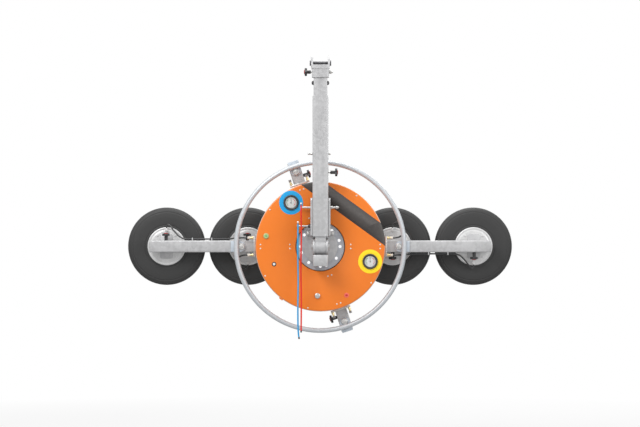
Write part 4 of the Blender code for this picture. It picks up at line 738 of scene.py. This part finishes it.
def rounded_square(size, corner):
    """Outline of a square with rounded corners."""
    reach = size / 2 - corner
    points = []
    for start, across, up in ((0, 1, 1), (90, -1, 1), (180, -1, -1), (270, 1, -1)):
        points += arc(corner, start, start + 90, 5, across * reach, up * reach)
    return points


def square_tube(size, wall, corner, start, end, place):
    """A hollow square tube along X behind the casing, open at both ends."""
    tube = bmesh.new()
    rings = []
    for side, bend in ((size, corner), (size - 2 * wall, max(corner - wall, 0.0015))):
        verts = [tube.verts.new((0, y, z)) for y, z in rounded_square(side, bend)]
        rings += [tube.edges.new(pair) for pair in zip(verts, verts[1:] + verts[:1])]
    faces = bmesh.ops.bridge_loops(tube, edges=rings)["faces"]
    pushed = bmesh.ops.extrude_face_region(tube, geom=faces)["geom"]
    far = [item for item in pushed if isinstance(item, bmesh.types.BMVert)]
    bmesh.ops.translate(tube, verts=far, vec=(end - start, 0, 0))
    bmesh.ops.transform(tube, matrix=place @ Matrix.Translation((start, BEAM_MID, 0)), verts=tube.verts)
    bmesh.ops.recalc_face_normals(tube, faces=tube.faces)
    return tube


weldment = []
for inner, outer, steps in ((0.112, 0.122, 128), (0.042, 0.052, 96)):
    wall = [(inner, 0.0218), (outer, 0.0218), (outer, BEAM_BACK), (inner, BEAM_BACK)]
    weldment.append(lathe(wall, HUB, steps=steps))
for quarter in range(4):
    weldment.append(slab((0.048, 0.0238, -0.005), (0.116, BEAM_BACK - 0.002, 0.005), 0.0006,
                         beam_turn(36 + 90 * quarter)))
for angle in BEAM_ANGLES.values():
    weldment.append(square_tube(BEAM_SIZE, 0.004, 0.006, 0.1195, BEAM_END, beam_turn(angle)))
soften(piece("chassis_weldment", weldment, STEEL, "chassis", "steel", "chassis_frame"), 0.0006)

# Casing
# A deep-drawn steel pan, powder coated in orange, closes the chassis in front. Its outer edge is
# rolled, a sleeve lines the hub opening, and a bare black band crosses its upper right.
CASING_RADIUS = 0.331
OPENING_RADIUS = 0.126
SHEET = 0.003
CASING_DEPTH = 0.088
ROLLED_EDGE = 0.008
EDGE_MIDDLE = CASING_RADIUS - ROLLED_EDGE


def powder_coat(name, colour, deep):
    """Powder coat: even colour with fine orange peel and the faintest clouding."""
    made, shader, place = new_finish(name, 0.36)
    cloud = noise(place, 5.0, 4.0, 0.6)
    grime = noise(place, 45.0, 5.0, 0.7)
    feed(shader, base_color=(cloud * 0.7 + grime * 0.45 - 0.1).clamped().mixed(deep, colour),
         roughness=grime * 0.18 + 0.3, normal=relief(noise(place, 420.0, 2.0), 0.0004, 0.5))
    shader.inputs["Coat Weight"].default_value = 0.15
    shader.inputs["Coat Roughness"].default_value = 0.3
    return made


def pan_front(lift, inner):
    """Profile of the pan's outer face, from the given radius to the start of the straight rim."""
    return [(inner, -lift)] + arc(ROLLED_EDGE + lift, -90, 0, 8, EDGE_MIDDLE, ROLLED_EDGE)


orange_coat, rim_orange = (powder_coat(name, tint(236, 126, 22), tint(230, 114, 14))
                           for name in ("orange_coat", "rim_orange"))
EDGE_HIGHLIGHT_START = 0.3272    # radii and depths between which a pale highlight is painted on the rolled edge
EDGE_HIGHLIGHT_FULL = 0.3302
EDGE_HIGHLIGHT_DEPTH = 0.010
EDGE_HIGHLIGHT_FRONT = 0.006


def paint_edge_highlight(made, pale):
    """Paint a pale highlight into the coat along the rolled edge, where the edge catches the light."""
    tree = made.node_tree
    socket = tree.nodes["Principled BSDF"].inputs["Base Color"]
    coat = Value(tree, socket.links[0].from_socket)
    place = coordinates(tree)
    flat = place.node("Mapping", {"Vector": place, "Location": (0, 0, -HUB.z), "Scale": (1, 0, 1)})
    parts = place.node("SeparateXYZ", {"Vector": place}).socket.node.outputs
    depth = Value(tree, parts[1]) - HUB.y
    highlighted = flat.length().spread(EDGE_HIGHLIGHT_START, EDGE_HIGHLIGHT_FULL)
    highlighted = highlighted * depth.spread(EDGE_HIGHLIGHT_DEPTH, EDGE_HIGHLIGHT_FRONT)
    tree.links.new(highlighted.mixed(coat, pale).socket, socket)


# painted highlight: the orange coat turns to a pale band along its rolled edge
paint_edge_highlight(orange_coat, tint(200, 188, 176))
profile = [(OPENING_RADIUS, 0.0025), (OPENING_RADIUS + 0.0007, 0.0007)]
profile += pan_front(0.0, OPENING_RADIUS + 0.0025)
profile += [(CASING_RADIUS, CASING_DEPTH - 0.0007), (CASING_RADIUS - 0.0007, CASING_DEPTH),
            (CASING_RADIUS - SHEET, CASING_DEPTH)]
profile += arc(ROLLED_EDGE - SHEET, 0, -90, 8, EDGE_MIDDLE, ROLLED_EDGE)
profile += [(OPENING_RADIUS + SHEET, SHEET), (OPENING_RADIUS + SHEET, CASING_DEPTH),
            (OPENING_RADIUS, CASING_DEPTH)]
casing_holes = [bar(radius, at(x, -0.01, z), at(x, 0.02, z), 0.0001, 48)
                for x, z, radius in ((-0.2765, 0.054, 0.0133), (-0.0145, -0.251, 0.0068))]
casing_mesh = carve(lathe(profile, HUB, steps=192), casing_holes)
piece("orange_casing", casing_mesh, orange_coat, "chassis", "orange", "casing_pan")
BAND_SLOPE = math.radians(-36)
BAND_LOW = 0.197
BAND_HIGH = 0.278
BAND_THICKNESS = 0.0003
across_band = Vector((-math.sin(BAND_SLOPE), 0, math.cos(BAND_SLOPE)))
band_mesh = bmesh.new()
verts = [band_mesh.verts.new((radius, 0, depth)) for radius, depth in pan_front(BAND_THICKNESS, 0.15)]
edges = [band_mesh.edges.new(pair) for pair in zip(verts, verts[1:])]
bmesh.ops.spin(band_mesh, geom=verts + edges, cent=(0, 0, 0), axis=(0, 0, 1), angle=2 * math.pi, steps=192,
               use_merge=True)
bmesh.ops.transform(band_mesh, matrix=along(HUB, at(0, 1, 0)), verts=band_mesh.verts)
for offset, sign in ((BAND_LOW, -1), (BAND_HIGH, 1)):
    everything = band_mesh.verts[:] + band_mesh.edges[:] + band_mesh.faces[:]
    bmesh.ops.bisect_plane(band_mesh, geom=everything, dist=1e-6, plane_co=HUB + across_band * offset,
                           plane_no=across_band * sign, clear_outer=True)
bmesh.ops.recalc_face_normals(band_mesh, faces=band_mesh.faces)
black_film = worn("black_film", tint(58, 54, 53), tint(84, 79, 76), 0.45, 0.0, (70.0, 5.0, 0.7), (0.2, 0.34))
band = piece("black_band", band_mesh, black_film, "chassis", "plastic")
shell = band.modifiers.new("film", "SOLIDIFY")
shell.thickness = BAND_THICKNESS * 0.8
shell.offset = -1.0

# Screws of the casing
# Small zinc-plated dome screws: pairs over each beam hold the casing to the frame inside, and five
# more stand round the rim.
screws = []
SCREW_DOME = softened([(0, 0), (0.0042, 0), (0.0040, 0.0010), (0.0026, 0.0021), (0, 0.0025)], 0.0004)
screw_places = [(radius, hand, angle) for angle in BEAM_ANGLES.values() for radius in (0.155, 0.305)
                for hand in (-0.010, 0.010)]
screw_places += [(0.3185, 0.0, angle) for angle in (-152.0, -101.5, -35.5, 54.5, 143.8)]
for radius, hand, angle in screw_places:
    turn = math.radians(angle)
    x = radius * math.cos(turn) - hand * math.sin(turn)
    z = radius * math.sin(turn) + hand * math.cos(turn)
    screws.append(lathe(SCREW_DOME, at(x, 0.0002, z), (0, -1, 0), 20))
pale_zinc = galvanised("pale_zinc", tint(206, 198, 188), tint(236, 228, 218), 0.34, 0.2)
piece("casing_screws", screws, pale_zinc, "chassis", "zinc")

# Gauges
# Two round vacuum gauges with a black bezel, a pale dial with generic graduations, a pointer and a
# flat glass. A blue and a yellow flat ring on the casing mark the two vacuum circuits.
GAUGE_RADIUS = 0.039
DIAL_RADIUS = 0.0282


def moulded(name, dark, light, roughness=0.42):
    """Moulded plastic: fine grain and a little handling wear."""
    made, shader, place = new_finish(name, roughness)
    wear = noise(place, 120.0, 4.0, 0.65)
    feed(shader, base_color=wear.mixed(dark, light), roughness=wear * 0.2 + (roughness - 0.1),
         normal=relief(noise(place, 900.0), 0.0002, 0.6))
    return made


black_plastic = moulded("black_plastic", tint(34, 34, 35), tint(62, 61, 60))
dial_white = moulded("dial_white", tint(196, 197, 194), tint(216, 217, 214), 0.5)
dial_ink = moulded("dial_ink", tint(30, 30, 32), tint(48, 48, 50))
dial_red = moulded("dial_red", tint(196, 40, 34), tint(214, 60, 50))
dial_green = moulded("dial_green", tint(60, 140, 70), tint(86, 160, 92))
glass = bpy.data.materials.new("gauge_glass")
glass.use_nodes = True
clear = glass.node_tree.nodes["Principled BSDF"]
clear.inputs["Roughness"].default_value = 0.04
clear.inputs["Base Color"].default_value = (0.95, 0.97, 0.97, 1)
clear.inputs["Alpha"].default_value = 0.12
GAUGE_RING = 0.061
DIAL_FRONT = -0.0018
TICK_START = 0.0233
GAUGES = {"blue": (-0.149, 0.224, tint(20, 170, 232), tint(6, 152, 214)),
          "yellow": (0.254, -0.076, tint(255, 226, 30), tint(252, 214, 8))}


def arc_band(inner, outer, first, last, depth, place, steps=24):
    """A flat strip of a ring between two angles, raised by its depth."""
    outline = arc(outer, first, last, steps) + arc(inner, last, first, steps)
    return plate(outline, depth, place, 0.00003)


def washer(inner, outer, back, front):
    """Profile of a flat ring, or of a disc where the inner radius is nought."""
    return [(inner, front), (outer, front), (outer, back), (inner, back)]


for name, (x, z, colour, deep) in GAUGES.items():
    spot = at(x, 0, z)
    bezel = [(0, DIAL_FRONT), (DIAL_RADIUS, DIAL_FRONT), (DIAL_RADIUS, -0.0066), (0.0345, -0.0088),
             (0.0385, -0.0078), (GAUGE_RADIUS, -0.0060), (GAUGE_RADIUS, -0.0004), (0.0278, -0.0004),
             (0.0278, 0.030), (0, 0.030)]
    turned_piece("gauge_body_" + name, bezel, 0.0008, spot, 96, black_plastic, "chassis", "plastic",
                 "gauge_" + name)
    dial = washer(0, DIAL_RADIUS - 0.0003, DIAL_FRONT, -0.0021)
    piece("gauge_dial_" + name, lathe(dial, spot, steps=96), dial_white, "chassis", "plastic")
    dial_plane = facing(at(x, -0.0020, z))
    ticks = []
    for i in range(21):
        end, wide = (TICK_START + 0.0041, 0.0005) if i % 5 == 0 else (TICK_START + 0.0024, 0.00028)
        outline = [(TICK_START, -wide), (end, -wide), (end, wide), (TICK_START, wide)]
        turn = Matrix.Rotation(math.radians(225 - 13.5 * i), 4, "Z")
        ticks.append(plate(outline, 0.0003, dial_plane @ turn, 0.00002))
    ticks.append(arc_band(0.0225, 0.0230, -45, 225, 0.00028, dial_plane, 60))
    piece("gauge_ticks_" + name, ticks, dial_ink, "chassis", "plastic")
    for share, first, last, ink, slot in (("safe", 120, 225, dial_green, "green"),
                                          ("low", -45, 60, dial_red, "plastic")):
        zone = arc_band(0.0190, 0.0220, first, last, 0.00025, dial_plane)
        piece("gauge_" + share + "_" + name, zone, ink, "chassis", slot)
    pane = lathe(washer(0, DIAL_RADIUS, -0.0056, -0.0062), spot, steps=64)
    piece("gauge_glass_" + name, pane, glass, "chassis", "plastic")
    dressed("needle_" + name, dial_ink, "dark_steel", 0.0002, 1)
    ring = washer(GAUGE_RADIUS - 0.003, GAUGE_RING, -0.0001, -0.0007)
    ring_paint = powder_coat(name + "_ring_paint", deep, colour)
    turned_piece("gauge_ring_" + name, ring, 0.0002, spot, 96, ring_paint, "chassis", "plastic")

# Controls on the casing
# A green start button in its collar, a plated vent knob with a grip bar, a red warning lamp in a
# pale collar, a small dark socket with a white middle, and a tab welded to the casing's rim.
START_BUTTON = at(-0.2765, 0, 0.054)
VENT_KNOB = (-0.0145, -0.251)
WARNING_LAMP = at(0.1336, 0, -0.248)
SOCKET = at(-0.2355, 0, -0.0896)
pale_green = moulded("start_button_rim", tint(176, 184, 124), tint(196, 202, 144))
lens_green = moulded("start_button_lens", tint(104, 168, 104), tint(130, 190, 128), 0.3)
button = [(0, -0.0078), (0.0076, -0.0078), (0.0086, -0.0084), (0.0116, -0.0078), (0.0124, -0.0062),
          (0.0124, 0.012), (0, 0.012)]
turned_piece("start_button_cap", button, 0.0006, START_BUTTON, 64, pale_green, "start_button", "green",
             "start_button")
lens = [(0, -0.0094), (0.0040, -0.0092), (0.0064, -0.0086), (0.0072, -0.0077), (0, -0.0077)]
turned_piece("start_button_lens", lens, 0.0005, START_BUTTON, 64, lens_green, "start_button", "green")
collar = [(0.0128, -0.0026), (0.0142, -0.0020), (0.0146, -0.0002), (0.0128, -0.0002)]
turned_piece("start_button_collar", collar, 0.0004, START_BUTTON, 64, pale_green, "chassis", "green")
knob = [(0, -0.010), (0.0105, -0.010), (0.0135, -0.0088), (0.014, -0.007), (0.014, -0.0004), (0.006, -0.0004),
        (0.006, 0.012), (0, 0.012)]
x, z = VENT_KNOB
grip = slab(at(x - 0.0122, -0.012, z - 0.0022), at(x + 0.0122, -0.0085, z + 0.0022), 0.0006)
piece("vent_knob_finish", [lathe(softened(knob, 0.0006), at(x, 0, z), steps=64), grip], zinc, "vent_knob",
      "zinc", "vent_knob")
lamp_red = worn("red_lens", tint(168, 16, 18), tint(206, 34, 30), 0.12, 0.0, (300.0,))
lamp_pink = moulded("lamp_collar", tint(238, 96, 84), tint(246, 118, 104))
collar = [(0.0052, -0.0026), (0.0118, -0.0018), (0.0122, -0.0002), (0.0052, -0.0002)]
turned_piece("warning_lamp_collar", collar, 0.0004, WARNING_LAMP, 64, lamp_pink, "chassis", "plastic")
lens = [(0, -0.0068), (0.0022, -0.0064), (0.0042, -0.0052), (0.0054, -0.003), (0.0054, -0.0004), (0, -0.0004)]
turned_piece("warning_lamp_lens", lens, 0.0006, WARNING_LAMP, 48, lamp_red, "chassis", "plastic")
collar = [(0.0068, -0.0030), (0.0108, -0.0022), (0.0114, -0.0002), (0.0068, -0.0002)]
turned_piece("socket_collar", collar, 0.0004, SOCKET, 64, black_plastic, "chassis", "plastic")
socket_white = moulded("socket_white", tint(236, 236, 234), tint(248, 248, 246))
button = [(0, -0.0016), (0.0060, -0.0016), (0.0068, -0.0008), (0.0068, -0.0002), (0, -0.0002)]
piece("socket_middle", lathe(button, SOCKET, steps=48), socket_white, "chassis", "plastic")
RIM_TAB_ANGLE = 233
rim_tab = slab((0.3295, 0.003, -0.011), (0.3372, 0.026, 0.011), 0.003, beam_turn(RIM_TAB_ANGLE))
piece("casing_rim_tab", rim_tab, rim_orange, "chassis", "orange")

# Ring handle
# One hoop of bright drawn tube is welded to four lug plates, and each lug is held on the front of
# its beam by a bolt with a domed cap.
bright_tube = worn("bright_tube", tint(176, 180, 184), tint(204, 208, 212), 0.4, 0.25, (90.0, 4.0, 0.7),
                   (0.16, 0.32), (0.0001, 0.3))
RING_RADIUS = 0.430
RING_TUBE = 0.0125
ring_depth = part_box("ring_handle")[0][1] + RING_TUBE - FRONT
ring_mesh = lathe(polygon(RING_TUBE, 28, RING_RADIUS), at(0, ring_depth, 0), steps=256)
piece("ring_tube", ring_mesh, bright_tube, "chassis", "bright", "ring_handle")
LUG_BOLT = 0.403
LUG_END = 0.458
LUG_HALF = 0.028
LUG_BACK = 0.0923
LUG_THICKNESS = 0.008
lugs = []
caps = []
lug = [(LUG_END, -LUG_HALF), (LUG_END, LUG_HALF)] + arc(LUG_HALF, 90, 270, 24, LUG_BOLT + 0.008)
dome = softened([(0, 0), (0.0168, 0), (0.0172, 0.0020), (0.0166, 0.0048), (0.0140, 0.0066), (0.0120, 0.0060),
                 (0.0060, 0.0074), (0, 0.0078)], 0.0008)
for angle in BEAM_ANGLES.values():
    turn = beam_turn(angle)
    lug_place = turn @ facing((0, LUG_BACK, 0))
    lugs.append(plate(lug, LUG_THICKNESS, lug_place, 0.0008))
    foot = turn @ Vector((LUG_BOLT, LUG_BACK - LUG_THICKNESS, 0))
    caps.append(lathe(dome, foot, (0, -1, 0), 56))
# painted light: the lugs get a lighter, bluer copy of the galvanised steel, which offsets the shade of the
# ring and casing and the orange light the casing throws on them
lug_steel_painted_light = galvanised("lug_steel_painted_light", tint(170, 179, 188), tint(206, 214, 223), 0.42, 0.1)
piece("ring_lugs", lugs, lug_steel_painted_light, "chassis", "steel")
piece("lug_bolts", caps, zinc, "chassis", "zinc")

# Extension arms
# Square galvanised tubes plug into the left and right beams. Each has an end cap, a bent guard and
# a gusset at its root, and two hooks that hold the hose.
ARM_END = 0.875
HOOKS = (0.556, 0.655)
GUARD = [(0.457, -0.028), (0.462, -0.028), (0.462, -0.044), (0.434, -0.076), (0.430, -0.072), (0.457, -0.042)]
GUSSET = [(0.460, 0.028), (0.480, 0.028), (0.462, 0.033), (0.449, 0.050)]
for side, angle in (("left", 180), ("right", 0)):
    turn = beam_turn(angle)
    arm = [square_tube(BEAM_SIZE, 0.004, 0.006, BEAM_END + 0.0003, ARM_END - 0.001, turn),
           square_tube(0.051, 0.004, 0.003, BEAM_END - 0.036, BEAM_END + 0.004, turn),
           slab((ARM_END - 0.003, BEAM_FRONT + 0.0035, -0.0265), (ARM_END, BEAM_BACK - 0.0035, 0.0265),
                0.0012, turn)]
    for x in HOOKS:
        arm.append(slab((x - 0.003, BEAM_FRONT + 0.004, -0.044), (x + 0.003, BEAM_FRONT + 0.008, -0.027),
                        0.0012, turn))
    for outline, thickness, depth in ((GUARD, 0.016, BEAM_BACK - 0.010), (GUSSET, 0.006, BEAM_FRONT + 0.012)):
        arm.append(plate(outline, thickness, turn @ facing((0, depth, 0)), 0.0006))
    piece("arm_tube_" + side, arm, STEEL, "chassis", "steel", "extension_arm_" + side)

# Suction pads
# Each pad is a moulded black rubber disc with a soft lip, vulcanised to a pressed steel plate. The
# plate's cup snaps round the ball of the stem, and a port on the plate takes the vacuum hose.
rubber, rubber_shader, rubber_place = new_finish("pad_rubber", 0.62)
bloom = noise(rubber_place, 26.0, 5.0, 0.65)
grain = noise(rubber_place, 650.0, 2.0)
pale = (bloom * 0.8 + grain * 0.2).clamped()
feed(rubber_shader, base_color=pale.mixed(tint(34, 34, 34), tint(50, 50, 50)), roughness=bloom * 0.22 + 0.5,
     normal=relief(grain * 0.6 + bloom * 0.4, 0.0004, 0.6))
INNER_PAD = 0.373
OUTER_PAD = 0.791
PADS = {"inner_left_pad": (-INNER_PAD, -1), "inner_right_pad": (INNER_PAD, 1),
        "outer_left_pad": (-OUTER_PAD, 1), "outer_right_pad": (OUTER_PAD, -1)}
PAD_PIVOT = 0.1706
PAD_FRONT = 0.1776
RUBBER_FRONT = 0.1879
LIP_BACK = 0.2399
CAVITY_FLOOR = 0.2219
PORT_OFFSET = 0.085
PORT_DEPTH = PAD_FRONT - 0.014
BALL = 0.014
RIVETS = ((-0.045, -0.055), (-0.045, 0.055), (0.045, -0.055), (0.045, 0.055))
NECK_EDGE = math.degrees(0.698) - 90    # where the ball leaves its neck, as an angle from its equator
STRAP = [(-0.025, -0.064), (0.025, -0.064), (0.033, -0.056), (0.033, 0.056), (0.025, 0.064), (-0.025, 0.064),
         (-0.033, 0.056), (-0.033, -0.056)]
plate_profile = [(0.0115, PAD_PIVOT - 0.0125), (0.0242, PAD_PIVOT - 0.0125), (0.0242, PAD_FRONT),
                 (0.078, PAD_FRONT), (0.086, PAD_FRONT + 0.0022), (0.0935, PAD_FRONT + 0.0008),
                 (0.098, PAD_FRONT + 0.0035), (0.098, PAD_FRONT + 0.010), (0, PAD_FRONT + 0.010),
                 (0, PAD_PIVOT + 0.0147), (0.0147, PAD_PIVOT + 0.0147), (0.0147, PAD_PIVOT - 0.0095),
                 (0.0115, PAD_PIVOT - 0.0095)]
rubber_profile = [(radius, RUBBER_FRONT + depth) for radius, depth in (
    (0, 0), (0.106, 0), (0.109, 0.0018), (0.113, 0), (0.150, 0.0008), (0.172, 0.0026), (0.1755, 0.0052),
    (0.180, 0.0046), (0.190, 0.0095), (0.197, 0.017), (0.200, 0.025), (0.200, 0.036))]
rubber_profile += [(0.1985, LIP_BACK - 0.004), (0.1975, LIP_BACK), (0.1862, LIP_BACK),
                   (0.183, LIP_BACK - 0.006)]
rubber_profile += [(radius, CAVITY_FLOOR + rise) for radius, rise in (
    (0.178, 0.005), (0.166, 0), (0.120, 0), (0.118, -0.0015), (0.114, 0), (0.080, 0), (0.078, -0.0015),
    (0.074, 0), (0, 0))]
stem = [(0, 0.1286), (BALL, 0.1286), (BALL, BEAM_BACK - 0.001), (0.009, BEAM_BACK + 0.002)]
stem += arc(BALL, NECK_EDGE, 90, 12, 0, PAD_PIVOT)[1:]
rivet = softened([(0, 0), (0.0062, 0), (0.0058, 0.0022), (0, 0.0032)], 0.0005)
plate_paint = galvanised("pad_plate_steel", tint(188, 188, 188), tint(220, 220, 220))
for name, (x, side) in PADS.items():
    z = side * PORT_OFFSET
    pad_plate = [lathe(softened(plate_profile, 0.0012), at(x, 0, 0), steps=128),
                 bar(0.0065, at(x, PORT_DEPTH, z - side * 0.008), at(x, PORT_DEPTH, z + side * 0.009), 0.001),
                 bar(0.0075, at(x, PAD_FRONT + 0.002, z), at(x, PORT_DEPTH - 0.006, z), 0.001)]
    for across, up in RIVETS:
        pad_plate.append(lathe(rivet, at(x + across, PAD_FRONT, up), (0, -1, 0), 24))
    if name.startswith("outer"):
        strap = plate(STRAP, 0.006, facing(at(x, PAD_FRONT + 0.001, 0)), 0.001)
        piece(name + "_strap", strap, STEEL, name, "steel")
    piece(name + "_plate_finish", pad_plate, plate_paint, name, "steel", name + "_plate")
    turned_piece(name + "_rubber_finish", rubber_profile, 0.0016, at(x, 0, 0), 160, rubber, name, "rubber",
                 name + "_rubber")
    piece(name + "_ball_stem", lathe(stem, at(x, 0, 0), steps=40), zinc, "chassis", "zinc", name + "_stem")

# Star knobs
# Black moulded stars on plated studs, each with a small red cap pressed into its head: one on the
# crane head, one on the mast, one on each beam and one on each arm.
STAR_REACH = 0.021
STAR_THICKNESS = 0.012
ARM_KNOB = (0.0495, 0.0138)     # reach and neck of the knobs on the beams and the arms
KNOB_STUD_FOOT = -0.0165
knob_black = moulded("knob_black", tint(34, 34, 35), tint(52, 52, 53))
cap_red = moulded("knob_cap_red", tint(142, 34, 36), tint(172, 50, 50))


def star_knob(name, foot, direction, reach, neck_gap):
    """Star head, neck and cap in one body; reach and neck_gap are measured from the stud's foot."""
    foot = Vector(foot)
    direction = Vector(direction).normalized()
    end = foot + direction * reach
    outline = []
    for i in range(60):
        bend = 2 * math.pi * i / 60
        radius = STAR_REACH * (0.86 + 0.14 * math.cos(5 * bend))
        outline.append((radius * math.cos(bend), radius * math.sin(bend)))
    star = plate(outline, STAR_THICKNESS, along(end - direction * STAR_THICKNESS, end), 0.0022)
    neck_end = reach - neck_gap - STAR_THICKNESS
    neck = [(0, 0), (0.0072, 0), (0.0088, 0.0012), (0.0085, neck_end), (0.0105, neck_end + 0.003),
            (0, neck_end + 0.003)]
    neck_mesh = lathe(softened(neck, 0.0004), foot + direction * neck_gap, direction, 40)
    piece(name + "_star", [star, neck_mesh], knob_black, name, "plastic", name)
    cap = [(0, 0), (0.0112, 0), (0.0112, 0.0016), (0.0100, 0.0030), (0.006, 0.0038), (0, 0.0040)]
    piece(name + "_cap", lathe(cap, end - direction * 0.0002, direction, 40), cap_red, name, "plastic")
    piece(name + "_stud", bar(0.005, foot, foot + direction * (neck_gap + 0.002), 0.0008), zinc, name, "zinc")


star_knob("fork_knob", at(0.063, AXIS_DEPTH, HEAD_KNOB_HEIGHT), (-1, 0, 0), 0.143, 0.112)
star_knob("clamp_knob", at(0.0348, AXIS_DEPTH, 0.377), (1, 0, 0), 0.0512, 0.0152)
arm_knobs = [(side, INNER_PAD, angle) for side, angle in BEAM_ANGLES.items()]
arm_knobs += [("outer_left", OUTER_PAD, 180), ("outer_right", OUTER_PAD, 0)]
for name, reach_out, angle in arm_knobs:
    turn = beam_turn(angle)
    star_knob(name + "_knob", turn @ Vector((reach_out, BEAM_MID, KNOB_STUD_FOOT)),
              turn.to_3x3() @ Vector((0, 0, -1)), *ARM_KNOB)

# Manifolds and hose couplings
# A plated block lies across each beam, just outside the casing, with two brass couplings and their
# caps: cream on the level beams, grey on the others.
cap_grey = moulded("coupling_cap_grey", tint(120, 121, 122), tint(146, 147, 148))
cap_cream = moulded("coupling_cap_cream", tint(214, 212, 200), tint(236, 234, 224))
brass = worn("brass", tint(206, 186, 134), tint(236, 220, 176), 0.28, 1.0, (130.0, 4.0, 0.6), (0.22, 0.2),
             (0.0002, 0.4))
MANIFOLD_TOP = 0.3413
COUPLING_OFFSET = 0.044
COUPLING_DEPTH = 0.072
NUT_RADIUS = 0.0072 / math.cos(math.pi / 6)
barrel = softened([(0, 0.0088), (0.0058, 0.0088), (0.0058, 0.0120), (0.0052, 0.0124), (0.0052, 0.0190),
                   (0.0046, 0.0194), (0, 0.0194)], 0.0003)
sleeve = softened([(0.0047, 0.0186), (0.0064, 0.0186), (0.0068, 0.0200), (0.0068, 0.0268), (0.0074, 0.0274),
                   (0.0074, 0.0300), (0.0068, 0.0307), (0.0047, 0.0307)], 0.0004)
for side, angle in BEAM_ANGLES.items():
    turn = beam_turn(angle)
    block_mesh = slab((0.3313, 0.064, -0.052), (MANIFOLD_TOP, 0.080, 0.052), 0.0012, turn)
    piece("manifold_block_" + side, block_mesh, zinc, "chassis", "zinc", "manifold_" + side)
    nuts = []
    caps = []
    out = turn.to_3x3() @ Vector((1, 0, 0))
    for z in (-COUPLING_OFFSET, COUPLING_OFFSET):
        foot = turn @ Vector((MANIFOLD_TOP, COUPLING_DEPTH, z))
        nuts.append(plate(polygon(NUT_RADIUS, 6), 0.009, along(foot, foot + out * 0.009), 0.0007))
        nuts.append(lathe(barrel, foot, out, 40))
        caps.append(lathe(sleeve, foot, out, 40))
    piece("couplings_" + side, nuts, brass, "chassis", "brass")
    cap_colour = cap_cream if side in ("left", "right") else cap_grey
    piece("coupling_caps_" + side, caps, cap_colour, "chassis", "plastic")

# Vacuum hoses
# Four black hoses run from the couplings of the left and right beams to the ports on the pads. The
# outer two follow the extension arms and are clipped to their hooks.
hose_black = worn("hose_black", tint(38, 38, 39), tint(56, 56, 57), 0.46, 0.0, (220.0, 3.0), (0.2, 0.34),
                  (0.0002, 0.4))
HOSE_START = 0.3723
along_arm = -BEAM_SIZE / 2 - 0.008
port = -0.0943
outer_route = [(HOSE_START, 0.072, -0.044), (0.3863, 0.0725, -0.044), (0.425, 0.102, -0.043),
               (0.470, BEAM_FRONT + 0.018, along_arm - 0.001), (0.52, BEAM_FRONT + 0.016, along_arm),
               (0.60, BEAM_FRONT + 0.016, along_arm), (0.68, BEAM_FRONT + 0.017, along_arm),
               (0.715, BEAM_FRONT + 0.026, along_arm - 0.008), (0.745, BEAM_FRONT + 0.042, port + 0.022),
               (0.770, PORT_DEPTH - 0.008, port - 0.010), (0.784, PORT_DEPTH - 0.001, port - 0.018),
               (OUTER_PAD, PORT_DEPTH, port - 0.008), (OUTER_PAD, PORT_DEPTH, port)]
inner_route = [(HOSE_START, 0.072, 0.044), (0.3843, 0.0725, 0.044), (0.410, 0.090, 0.051),
               (0.432, 0.112, 0.0753), (0.428, 0.136, 0.1043), (0.405, 0.152, 0.1223),
               (0.384, PORT_DEPTH - 0.002, 0.1203), (INNER_PAD, PORT_DEPTH, 0.1043),
               (INNER_PAD, PORT_DEPTH, -port)]
for side, sign in (("left", -1), ("right", 1)):
    for kind, route in (("outer", outer_route), ("inner", inner_route)):
        name = kind + "_hose_" + side
        points = smooth_path([at(sign * x, y, sign * z) for x, y, z in route], 0.006)
        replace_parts(tube_piece(name + "_skin", points, 0.008, hose_black, "chassis", "plastic"), name)

# Inside of the casing
# A galvanised plate closes the pan from behind. Two vacuum pumps, a battery and a valve block are
# screwed to its front and stand inside the pan.
pump_shell = moulded("pump_shell", tint(54, 56, 60), tint(76, 78, 82))
battery_shell = moulded("battery_shell", tint(40, 42, 48), tint(58, 60, 66))
for node, look, slot, width in (
        ("base_plate", STEEL, "steel", 0.0006), ("vacuum_pump_left", pump_shell, "plastic", 0.0012),
        ("vacuum_pump_right", pump_shell, "plastic", 0.0012), ("battery", battery_shell, "plastic", 0.0014),
        ("valve_block", zinc, "zinc", 0.0008)):
    dressed(node, look, slot, width)
